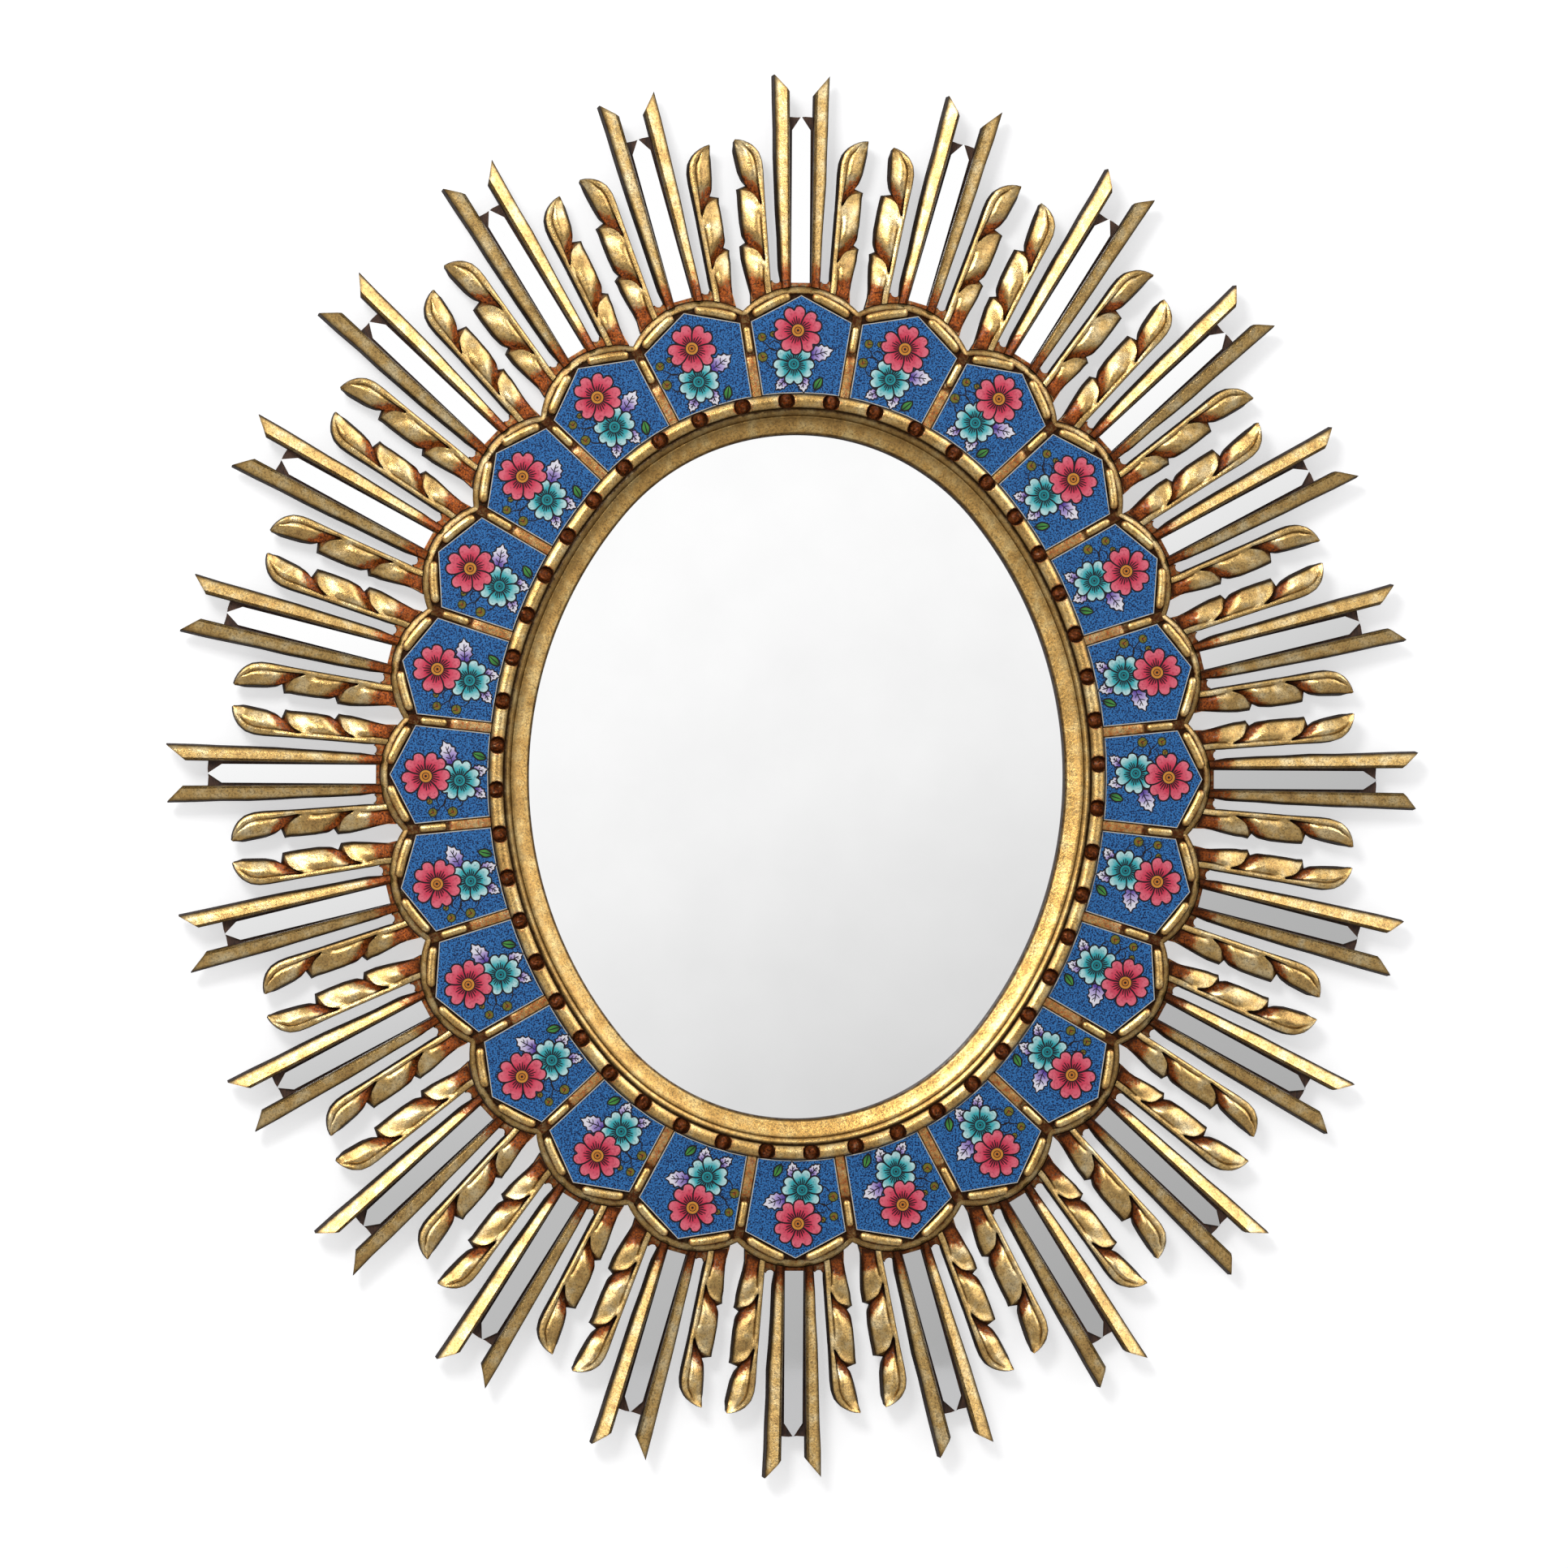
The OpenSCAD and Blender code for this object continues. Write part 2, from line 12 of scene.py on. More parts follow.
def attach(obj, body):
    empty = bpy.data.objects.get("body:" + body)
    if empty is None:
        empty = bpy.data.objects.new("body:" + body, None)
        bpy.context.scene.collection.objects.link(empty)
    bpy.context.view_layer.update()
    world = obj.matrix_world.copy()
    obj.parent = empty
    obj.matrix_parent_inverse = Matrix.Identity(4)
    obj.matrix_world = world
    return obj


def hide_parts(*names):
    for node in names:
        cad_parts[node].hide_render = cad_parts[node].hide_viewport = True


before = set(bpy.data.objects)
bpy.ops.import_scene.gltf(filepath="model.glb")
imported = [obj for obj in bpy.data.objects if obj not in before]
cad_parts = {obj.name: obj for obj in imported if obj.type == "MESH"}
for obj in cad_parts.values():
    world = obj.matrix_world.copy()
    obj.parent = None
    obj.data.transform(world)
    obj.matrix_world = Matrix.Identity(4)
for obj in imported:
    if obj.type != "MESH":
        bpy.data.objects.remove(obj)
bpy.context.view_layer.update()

# --- Back panel ---
# A thin oval of gaboon plywood that closes the back. It is sawn out, sanded and left bare,
# and it has yellowed and taken dust. Eight countersunk screws hold it to the frame board.


def linear(code):
    """sRGB hex colour as the linear colour that Blender works in."""
    parts = [int(code[k:k + 2], 16) / 255 for k in (1, 3, 5)]
    return tuple(c / 12.92 if c <= 0.04045 else ((c + 0.055) / 1.055) ** 2.4 for c in parts) + (1.0,)


def per_mm(size):
    """Scale, in object coordinates, of a pattern whose features are this many millimetres wide."""
    return 1000.0 / size


def add(tree, kind, inputs=None, stops=None, **settings):
    """Adds a node, or takes one that is there, with its settings, its stops and its inputs.
    An input is a value, a socket, or a node whose first output is meant."""
    node = tree.nodes.new("ShaderNode" + kind) if isinstance(kind, str) else kind
    for key, value in settings.items():
        setattr(node, key, value)
    for k, (place, tone) in enumerate(stops or []):
        stop = node.color_ramp.elements[k] if k < 2 else node.color_ramp.elements.new(place)
        stop.position = place
        stop.color = linear(tone) if isinstance(tone, str) else (tone, tone, tone, 1.0)
    for key, value in (inputs or {}).items():
        source = value.outputs[0] if isinstance(value, bpy.types.Node) else value
        if isinstance(source, bpy.types.NodeSocket):
            tree.links.new(source, node.inputs[key])
        else:
            node.inputs[key].default_value = source
    return node


def start_finish(name):
    """New material, its shader, the function that puts nodes in it and its object coordinates."""
    finish = bpy.data.materials.new(name)
    finish.use_nodes = True
    put = partial(add, finish.node_tree)
    return finish, finish.node_tree.nodes["Principled BSDF"], put, put("TexCoord").outputs["Object"]


def timber(name, dark, light, grain_mm, stretch, roughness):
    """Bare wood: long streaks of grain, fine pores along them and a little relief for the eye."""
    finish, shader, put, place = start_finish(name)
    drawn_out = put("Mapping", {"Vector": place, "Scale": stretch})
    grain = put("TexNoise", {"Vector": drawn_out, "Scale": per_mm(grain_mm), "Detail": 6.0,
                             "Roughness": 0.62, "Distortion": 0.5})
    pores = put("TexNoise", {"Vector": drawn_out, "Scale": per_mm(grain_mm / 4)})
    tone = put("ValToRGB", {"Fac": grain}, [(0.34, dark), (0.64, light)])
    shade = put("ValToRGB", {"Fac": pores}, [(0.36, 0.55), (0.5, 1.0)])
    both = put("Mix", {0: 1.0, 6: tone, 7: shade}, data_type="RGBA", blend_type="MULTIPLY")
    relief = put("Bump", {"Height": pores, "Strength": 0.35, "Distance": 0.0003})
    put(shader, {"Base Color": both.outputs[2], "Roughness": roughness, "IOR": 1.5, "Normal": relief})
    return finish


def refinish(node_name, finish):
    """Gives a CAD node whose shape is right its better finish."""
    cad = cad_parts[node_name]
    for place in cad.material_slots:
        place.material = finish
    if not cad.material_slots:
        cad.data.materials.append(finish)


# Sanded gaboon plywood: warm tan streaks about 5 mm wide that run up the panel.
refinish("back_panel", timber("gaboon_plywood", "#A9794C", "#C99F6E", 5.0, (1.0, 1.0, 0.08), 0.72))

# --- Packing card ---
# Grey pulp card that presses the mirror glass forward against the sight moulding. It is cut
# by hand to the oval and only laid in.

# Millboard: grey with pale and dark fibres about 0.5 mm thick, quite dull.
card, shader, put, place = start_finish("grey_millboard")
fibre = put("TexNoise", {"Vector": place, "Scale": per_mm(0.5), "Detail": 4.0})
tone = put("ValToRGB", {"Fac": fibre}, [(0.35, "#77736B"), (0.62, "#A09B91")])
relief = put("Bump", {"Height": fibre, "Strength": 0.3, "Distance": 0.0002})
put(shader, {"Base Color": tone, "Roughness": 0.9, "IOR": 1.45, "Normal": relief})
refinish("packing_card", card)

# --- Screws, hanger strap and ring ---
# Bought steel hardware, zinc plated. The strap is stamped and its end rolled into a loop;
# the ring is bent from wire and swings in that loop.

# Zinc plate: pale grey metal with faint blotches 3 mm wide, and fine drawing lines.
zinc, shader, put, place = start_finish("zinc_plated_steel")
cloud = put("TexNoise", {"Vector": place, "Scale": per_mm(3.0), "Detail": 5.0})
tone = put("ValToRGB", {"Fac": cloud}, [(0.3, "#9A9C9E"), (0.7, "#C6C8CA")])
dulling = put("MapRange", {"Value": cloud, "To Min": 0.28, "To Max": 0.46})
lines = put("TexNoise", {"Vector": place, "Scale": per_mm(0.4), "Detail": 2.0})
relief = put("Bump", {"Height": lines, "Strength": 0.15, "Distance": 0.0001})
put(shader, {"Base Color": tone, "Metallic": 1.0, "Roughness": dulling, "Normal": relief})
for hardware in ("back_screws", "hanger_strap", "hanger_ring"):
    refinish(hardware, zinc)

# --- Frame board ---
# The flat oval ring of pine that everything is glued to. It is band sawn and planed, and left
# bare, since only its back is seen.

# Planed pine: straw and amber streaks about 4 mm wide, up the board.
refinish("frame_board", timber("planed_pine", "#A8763F", "#D0A569", 4.0, (1.0, 1.0, 0.06), 0.68))

# --- Mirror glass and mirror slivers ---
# Float glass silvered on the back. One oval lies under the sight moulding, and 24 pointed
# slivers, snapped by hand, are glued to the webs of the rays.

# Silvered glass: near white metal behind a clear front, very faintly clouded over 40 mm.
silvering, shader, put, place = start_finish("silvered_glass")
cloud = put("TexNoise", {"Vector": place, "Scale": per_mm(40.0), "Detail": 3.0})
tone = put("ValToRGB", {"Fac": cloud}, [(0.2, "#F9F9F9"), (0.8, "#FFFFFF")])
dulling = put("MapRange", {"Value": cloud, "To Min": 0.015, "To Max": 0.035})
put(shader, {"Base Color": tone, "Metallic": 1.0, "Roughness": dulling})
refinish("mirror_glass", silvering)

# The same silvering on the slivers, with a painted reflection in its colour: white at the top,
# grey below the middle, set by height on the frame.
painted_reflection_slivers, shader, put, place = start_finish("silvered_slivers_painted_reflection")
height = put("VectorMath", {0: place, 1: (-0.35, 0.0, 1.0)}, operation="DOT_PRODUCT").outputs["Value"]
share = put("MapRange", {"Value": height, "From Min": -0.35, "From Max": 0.35})
tone = put("ValToRGB", {"Fac": share},
           [(0.0, 0.92), (1.0, 1.0), (0.15, 0.78), (0.30, 0.64), (0.40, 0.66), (0.50, 0.78), (0.72, 1.0)])
cloud = put("TexNoise", {"Vector": place, "Scale": per_mm(12.0)})
dulling = put("MapRange", {"Value": cloud, "To Min": 0.02, "To Max": 0.06})
put(shader, {"Base Color": tone, "Metallic": 1.0, "Roughness": dulling})
refinish("mirror_slivers", painted_reflection_slivers)

# --- Sight moulding ---
# The smooth carved lip that holds the mirror glass. It is gessoed, laid with metal leaf and
# toned with brown glaze and painted shade, which lie thickest beside the beads and towards the top.

# The opening's oval is drawn with four arcs, two ends and two sides. All sizes are millimetres,
# and a level is a height off the wall.
opening_w = 267.0
opening_h = 340.0
half_w = opening_w / 2
half_h = opening_h / 2
end_r = 0.423 * opening_w
side_r = (half_w ** 2 + half_h ** 2 - 2 * half_h * end_r) / (2 * (half_w - end_r))
end_c = half_h - end_r
side_c = side_r - half_w
join_a = degrees(atan2(side_c, end_c))
front_level = 11.0


def along(a):
    """Direction at a degrees clockwise from the top, seen from the front."""
    return np.array([sin(radians(a)), cos(radians(a))])


def across(a):
    """Direction to the right of along(a)."""
    return np.array([cos(radians(a)), -sin(radians(a))])


def oval_point(a, s):
    """Point at distance s outside the opening, where its oval faces direction a."""
    c = cos(radians(a))
    if abs(c) >= cos(radians(join_a)):
        centre, r = np.array([0.0, copysign(end_c, c)]), end_r
    else:
        centre, r = np.array([-copysign(side_c, sin(radians(a))), 0.0]), side_r
    return centre + (r + s) * along(a)


def facing(f, s):
    """Direction that the oval faces after the share f of the line at distance s."""
    f = f % 1.0
    end_len = (end_r + s) * radians(join_a)
    quarter = end_len + (side_r + s) * radians(90 - join_a)
    part = (f % 0.5) * 4
    way = (part if part <= 1 else 2 - part) * quarter
    turned = degrees(way / (end_r + s)) if way <= end_len else \
        join_a + degrees((way - end_len) / (side_r + s))
    turned = turned if part <= 1 else 180 - turned
    return turned if f < 0.5 else turned + 180


def smooth(t):
    """Rises gently from 0 to 1."""
    t = min(max(t, 0.0), 1.0)
    return t * t * (3 - 2 * t)


def grid(rows, cols, close_rows=True):
    """Quads between rows of points, each row a closed loop of the same number of points."""
    quads = []
    for r in range(rows if close_rows else rows - 1):
        for c in range(cols):
            a, b = r * cols, (r + 1) % rows * cols
            d = (c + 1) % cols
            quads.append((a + c, b + c, b + d, a + d))
    return quads


def start_mesh(name, points, faces, finishes, picks=None):
    """Mesh from points (x, y, level) in millimetres, stood up on the wall."""
    mesh = bpy.data.meshes.new(name)
    mesh.from_pydata([(p[0] / 1000, -p[2] / 1000, p[1] / 1000) for p in points], [], faces)
    for finish in finishes:
        mesh.materials.append(finish)
    if picks:
        mesh.polygons.foreach_set("material_index", np.array(picks, dtype=np.int32))
    return mesh


def mark(mesh, name, domain, values):
    """Gives the mesh a named mark that its finish reads."""
    mesh.attributes.new(name, "FLOAT", domain).data.foreach_set("value", np.array(values, dtype=np.float32))


def new_object(data):
    """Object of the same name as its mesh, lamp or camera, put in the scene."""
    made = bpy.data.objects.new(data.name, data)
    bpy.context.scene.collection.objects.link(made)
    return made


def hang(mesh, replaced):
    """Puts the mesh on the frame as a piece, in the place of a CAD node."""
    piece = new_object(mesh)
    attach(piece, "frame")
    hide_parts(replaced)


def gilded_piece(name, replaced, shell, worn, glaze, finishes, picks=None, crease=38.0):
    """Piece from a shell (points and faces), smooth but for edges sharper than the crease."""
    mesh = start_mesh(name, *shell, finishes, picks)
    mark(mesh, "worn", "POINT", worn)
    mark(mesh, "glaze", "POINT", glaze)
    work = bmesh.new()
    work.from_mesh(mesh)
    bmesh.ops.recalc_face_normals(work, faces=work.faces)
    work.to_mesh(mesh)
    work.free()
    mesh.polygons.foreach_set("use_smooth", [True] * len(mesh.polygons))
    mesh.set_sharp_from_angle(angle=radians(crease))
    hang(mesh, replaced)


def gilding(name, low, mid, high, bole_dark, bole_light, roughness):
    """Lacquered metal leaf over red bole: warm metal clouded over 9 mm, worn through to the bole
    in specks where the worn mark says so, brown glaze and painted shade where the glaze-and-shade
    mark does, and dark paint on the sides. The real grain is 0.5 mm, too fine to show, and is drawn 1 mm wide."""
    finish, shader, put, place = start_finish(name)
    cloud = put("TexNoise", {"Vector": place, "Scale": per_mm(9.0), "Detail": 4.0, "Roughness": 0.6})
    grain = put("TexNoise", {"Vector": place, "Scale": per_mm(1.0), "Detail": 3.0, "Roughness": 0.7})
    blot = put("TexNoise", {"Vector": place, "Scale": per_mm(2.6), "Detail": 5.0, "Roughness": 0.72})
    leaf = put("ValToRGB", {"Fac": cloud}, [(0.25, low), (0.72, high), (0.48, mid)])
    speckle = put("ValToRGB", {"Fac": grain}, [(0.34, 0.4), (0.55, 1.0)])
    gold = put("Mix", {0: 1.0, 6: leaf, 7: speckle}, data_type="RGBA", blend_type="MULTIPLY")
    # Bare bole: the worn mark, broken up by the grain and the blots.
    patches = put("Math", {0: blot, 1: 1.5, 2: -1.6}, operation="MULTIPLY_ADD")
    spread = put("Math", {0: grain, 1: 1.7, 2: patches}, operation="MULTIPLY_ADD")
    worn = put("Attribute", attribute_name="worn").outputs["Fac"]
    rubbed = put("Math", {0: worn, 1: spread}, operation="ADD")
    bare = put("MapRange", {"Value": rubbed, "From Min": 0.34, "From Max": 0.78})
    clay = put("ValToRGB", {"Fac": grain}, [(0.38, bole_dark), (0.62, bole_light)])
    over = put("Mix", {0: bare, 6: gold.outputs[2], 7: clay}, data_type="RGBA")
    # Brown glaze and painted shade: they pool where the glaze-and-shade mark says so.
    glaze = put("Attribute", attribute_name="glaze").outputs["Fac"]
    pool = put("Math", {0: spread, 1: 0.45, 2: glaze}, operation="MULTIPLY_ADD")
    brown = put("MapRange", {"Value": pool, "From Min": 0.2, "From Max": 0.95, "To Max": 0.93})
    glazed = put("Mix", {0: brown, 6: over.outputs[2], 7: linear("#200E05")}, data_type="RGBA")
    # Dark paint: on whatever doesn't face the front.
    normal = put("NewGeometry").outputs["Normal"]
    front = put("SeparateXYZ", {0: normal}).outputs["Y"]
    side = put("MapRange", {"Value": front, "From Min": -0.42, "From Max": -0.2})
    paint = put("ValToRGB", {"Fac": blot}, [(0.35, "#160D08"), (0.68, "#362215")])
    whole = put("Mix", {0: side, 6: glazed.outputs[2], 7: paint}, data_type="RGBA")
    # Bole, glaze, painted shade and paint are neither metal nor lacquered, and duller than the leaf.
    dull = put("Math", {0: bare, 1: side}, operation="MAXIMUM")
    veil = put("Math", {0: brown, 1: side}, operation="MAXIMUM")
    flat = put("Math", {0: bare, 1: 0.5, 2: veil}, operation="MULTIPLY_ADD", use_clamp=True)
    metal = put("MapRange", {"Value": flat, "To Min": 0.92, "To Max": 0.0})
    lacquer = put("MapRange", {"Value": flat, "To Min": 0.55, "To Max": 0.0})
    gloss = put("MapRange", {"Value": dull, "To Min": roughness, "To Max": 0.5})
    dents = put("Bump", {"Height": blot, "Strength": 0.4, "Distance": 0.0006})
    relief = put("Bump", {"Height": grain, "Strength": 0.3, "Distance": 0.00025, "Normal": dents})
    put(shader, {"Base Color": whole.outputs[2], "Metallic": metal, "Roughness": gloss, "Normal": relief,
                 "Coat Weight": lacquer, "Coat Roughness": 0.2, "Specular IOR Level": 0.06})
    return finish


# Toned leaf on the lip: olive brown gold with a fine sparkle.
lip_gilding = gilding("toned_leaf_lip", "#B08340", "#D2A55A", "#EACB88", "#3C180B", "#8A4A22", 0.25)
# Profile as distance from the opening and level: a shallow cove, a groove and a fillet.
lip_profile = [(0.1, front_level), (0.1, 15.0), (0.35, 15.75), (0.9, 16.15), (1.8, 16.4), (3.0, 16.65),
               (4.4, 17.0), (5.8, 17.45), (7.2, 17.95), (8.3, 18.45), (8.9, 18.35), (9.3, 17.9), (9.7, 18.4),
               (10.3, 19.3), (11.1, 19.75), (12.2, 19.6), (12.88, 19.15), (12.88, front_level)]
lip_groove = 9.3
lip_line = 6.0
lip_stations = 600
# How much glaze and painted shade lies at which distance from the opening.
glaze_at = [0.0, 0.7, 1.5, 4.0, 6.0, 8.4, 11.0, 12.9]
glaze_there = [0.95, 0.75, 0.0, 0.12, 0.45, 0.72, 0.7, 1.1]
lip_points, lip_worn, lip_glaze = [], [], []
for k in range(lip_stations):
    a = facing(k / lip_stations, lip_line)
    waver = 0.12 * sin(k * 0.173) + 0.08 * sin(k * 0.41 + 1.0)
    # Painted shade of the beads: the mark grows towards the top.
    shade_towards_top = 0.6 + 0.36 * cos(radians(a + 20))
    for s, h in lip_profile:
        lip_points.append((*oval_point(a, s), h + (waver if h > 15.5 else 0.0)))
        lip_worn.append(0.4 if s < 0.6 or s > 11.5 else 0.0)
        lies = float(np.interp(s, glaze_at, glaze_there))
        # Painted shade in the creases: in the groove and at both edges the mark is at least 0.85.
        open_face = 1.0 < s < 11.5 and abs(s - lip_groove) > 0.3
        lip_glaze.append(lies * shade_towards_top if open_face else max(lies, 0.85))
gilded_piece("sight_lip", "sight_moulding", (lip_points, grid(lip_stations, len(lip_profile))), lip_worn, lip_glaze,
             [lip_gilding])

# --- Bead and reel moulding ---
# A half round rod with 48 reels drilled into it by a ring cutter, which leaves a rough ball
# in each. The rod is gilded; the reels are worn to the bole and stained brown with painted shade.

# Bright leaf of the rods: pale gold with brown in its grain.
rod_gilding = gilding("bright_leaf_rods", "#AC7F3E", "#DAB066", "#F5DCA2", "#34140A", "#B8602A", 0.22)
bead_line = 12.9
bead_mid = 16.5
bead_half = 3.55
bead_top = 22.49
reel_count = 48
reel_start = 0.67
reel_r = 4.0
reel_floor = 18.4
reel_groove = 3.6
ball_r = 3.0
bead_stations = reel_count * 56
bead_angles = (-90, -72, -56, -42, -28, -14, 0, 14, 28, 42, 56, 72, 90)
reel_centres = [oval_point(facing((k + reel_start) / reel_count, bead_line), bead_mid) for k in range(reel_count)]
reel_rng = random.Random(11)
reel_lumps = [[(reel_rng.uniform(0, 6.28), reel_rng.uniform(0.3, 0.7)) for _ in range(3)] for _ in range(reel_count)]
# Each point is x, y, level, worn mark and glaze-and-shade mark.
beads = []
for k in range(bead_stations):
    f = k / bead_stations
    a = facing(f, bead_line)
    nearest = int(round(f * reel_count - reel_start)) % reel_count
    cx, cy = reel_centres[nearest]
    row = []
    for q in bead_angles:
        w = bead_half * sin(radians(q))
        x, y = oval_point(a, bead_mid + w)
        gap = hypot(x - cx, y - cy)
        turn = atan2(y - cy, x - cx)
        lump = sum(d * sin((n + 2) * turn + p + 2.6 * gap) for n, (p, d) in enumerate(reel_lumps[nearest]))
        rod = bead_top - bead_half + sqrt(max(bead_half ** 2 - w * w, 0.0))
        ball = reel_floor + sqrt(max(ball_r ** 2 - gap ** 2, 0.0)) * 0.95 + 0.7 * lump * min(gap / 1.2, 1.0)
        cut = max(reel_floor, ball if gap < ball_r else reel_floor)
        blend = min(max((reel_r + 0.2 - gap) / 0.4, 0.0), 1.0)
        worn = 0.95 if gap < reel_r + 0.2 else max(0.0, 0.6 - (gap - reel_r) * 0.25)
        # Painted shade: the mark darkens the flanks, the outer more than the inner, the groove round each reel and its
        # ball.
        flank_glaze_and_shade = max(0.0, abs(w) / bead_half - 0.55) / 0.45 * (0.6 if w < 0 else 0.9)
        groove_glaze_and_shade = 1.0 - smooth(abs(gap - reel_groove))
        pit_stain_and_shade = 0.5 + 0.3 * lump if gap < ball_r else 0.0
        row.append((x, y, rod * (1 - blend) + min(cut, rod) * blend, worn, min(max(flank_glaze_and_shade, groove_glaze_and_shade, pit_stain_and_shade), 1.0)))
    beads += [(*row[0][:2], front_level, 1.0, 1.0), *row, (*row[-1][:2], front_level, 1.0, 1.0)]
gilded_piece("bead_and_reel", "bead_moulding", ([p[:3] for p in beads], grid(bead_stations, len(bead_angles) + 2)),
             [p[3] for p in beads], [p[4] for p in beads], [rod_gilding], crease=50.0)

# --- Tile surround ---
# A scalloped ring with a recess for each tile. Its rim is bevelled, two round rods follow the
# point of each tile, and a bar with a bead on its outer half parts each two tiles.

sectors = 24
surround_in = 20.25
surround_back = 14.0
recess_level = 15.98
tile_corner = 57.5
tile_point = 69.0
divider_w = 5.0
# The bar: half its width, where its strip ends, the tops of strip and flanks, and its bead.
bar_half = 2.45
divider_bead = 40.0
strip_top = 18.0
flank_top = 17.0
bar_bead_r = 1.95
bar_bead_level = 17.35
bar_bead_ends = (42.3, 55.9)
scallop_reach = 73.5
scallop_r = 40.0
# The rods: their size, how far outside the recess, from its corner and from its point, their bow.
rod_r = 2.3
rod_level = 17.2
rod_out = 2.55
rod_from = 2.5
rod_short = 4.7
rod_bow = 0.55
rod_rows = 14
rod_sides = 12
pitch_line = (surround_in + tile_point) / 2


def tile_a(i):
    """Direction that tile i faces outwards in."""
    return facing(i / sectors, pitch_line)


def line_point(i, s, shift):
    """Point on the middle line of tile i at distance s, shifted to its right."""
    return oval_point(tile_a(i), s) + shift * across(tile_a(i))


def scallop_edge(a, i):
    """Distance from the opening to the scallop of tile i, along direction a."""
    start = oval_point(a, 0.0) - oval_point(tile_a(i), scallop_reach - scallop_r)
    b = float(start @ along(a))
    return -b + sqrt(b * b - float(start @ start) + scallop_r ** 2)


def scallop_s(u):
    """Distance from the opening to the scallop at u beside its middle line, with the glue gap."""
    return sqrt(scallop_r ** 2 - u * u) + scallop_reach - scallop_r + 0.15


def loft(rings):
    """Closed skin over rings of points, with a flat face at each end."""
    cols = len(rings[0])
    points = [p for ring in rings for p in ring]
    quads = grid(len(rings), cols, close_rows=False)
    quads.append(tuple(reversed(range(cols))))
    quads.append(tuple(range((len(rings) - 1) * cols, len(rings) * cols)))
    return points, quads


def capsule(p, q, r, level, bow=0.0):
    """Rod from p to q with rounded ends, its middle pushed sideways by bow."""
    run = np.array(q) - np.array(p)
    length = float(np.hypot(*run))
    run = run / length
    out = np.array([run[1], -run[0]])
    rings = []
    for k in range(rod_rows + 1):
        t = 0.5 - 0.5 * cos(pi * k / rod_rows)
        end = min(t * length, (1 - t) * length)
        size = r * sqrt(max(1 - (1 - min(end / r, 1.0)) ** 2, 0.0004))
        mid = np.array(p) + run * t * length + out * bow * 4 * t * (1 - t)
        rings.append([(*(mid + out * size * cos(v)), level + size * sin(v))
                      for v in [2 * pi * n / rod_sides for n in range(rod_sides)]])
    return loft(rings)


class Heap:
    """Shells gathered into one piece, with the worn and glaze-and-shade marks and the finish of each."""

    def __init__(self):
        self.points, self.faces, self.worn, self.glaze, self.picks = [], [], [], [], []

    def take(self, shell, worn=0.0, glaze=0.0, pick=0):
        points, faces = shell
        base = len(self.points)
        self.points += points
        self.faces += [tuple(base + v for v in f) for f in faces]
        self.worn += worn if isinstance(worn, list) else [worn] * len(points)
        self.glaze += glaze if isinstance(glaze, list) else [glaze] * len(points)
        self.picks += [pick] * len(faces)


def take_rod(rod, worn, end_worn):
    """Adds a rod whose ends are rubbed more than its middle and whose flanks hold glaze and painted shade."""
    flank_glaze_and_shade = [1.0 - smooth((sin(2 * pi * n / rod_sides) + 0.1) / 0.62) for n in range(rod_sides)]
    rings = [worn if 3 <= k <= rod_rows - 3 else end_worn for k in range(rod_rows + 1)]
    ring_heap.take(rod, [w for w in rings for _ in range(rod_sides)], flank_glaze_and_shade * (rod_rows + 1))


ring_heap = Heap()
# Distance in from the scallop, level, worn mark and glaze-and-shade mark, from the outside in.
# The glaze-and-shade mark puts painted shade at the rim's edges and in the recess.
rim_profile = [(0.0, surround_back, 0.5, 1.0), (0.0, 14.8, 0.4, 0.95), (0.3, 15.3, 0.25, 0.6), (1.6, 16.2, 0.15, 0.38),
               (2.9, 16.9, 0.35, 0.6), (3.5, 16.8, 0.6, 0.9), (4.1, recess_level, 0.7, 1.0)]
inner_edge = [(surround_in, recess_level, 0.8, 1.0), (surround_in, surround_back, 0.8, 1.0)]
rim_steps = 24
rim = []
for i in range(sectors):
    for k in range(rim_steps):
        a = tile_a(i - 0.5 + k / rim_steps)
        edge = scallop_edge(a, i)
        section = [(edge - e, *rest) for e, *rest in rim_profile] + inner_edge
        rim += [(*oval_point(a, s), *rest) for s, *rest in section]
ring_heap.take(([p[:3] for p in rim], grid(sectors * rim_steps, len(rim_profile) + 2)), [p[3] for p in rim],
               [p[4] for p in rim])
rod_rng = random.Random(5)
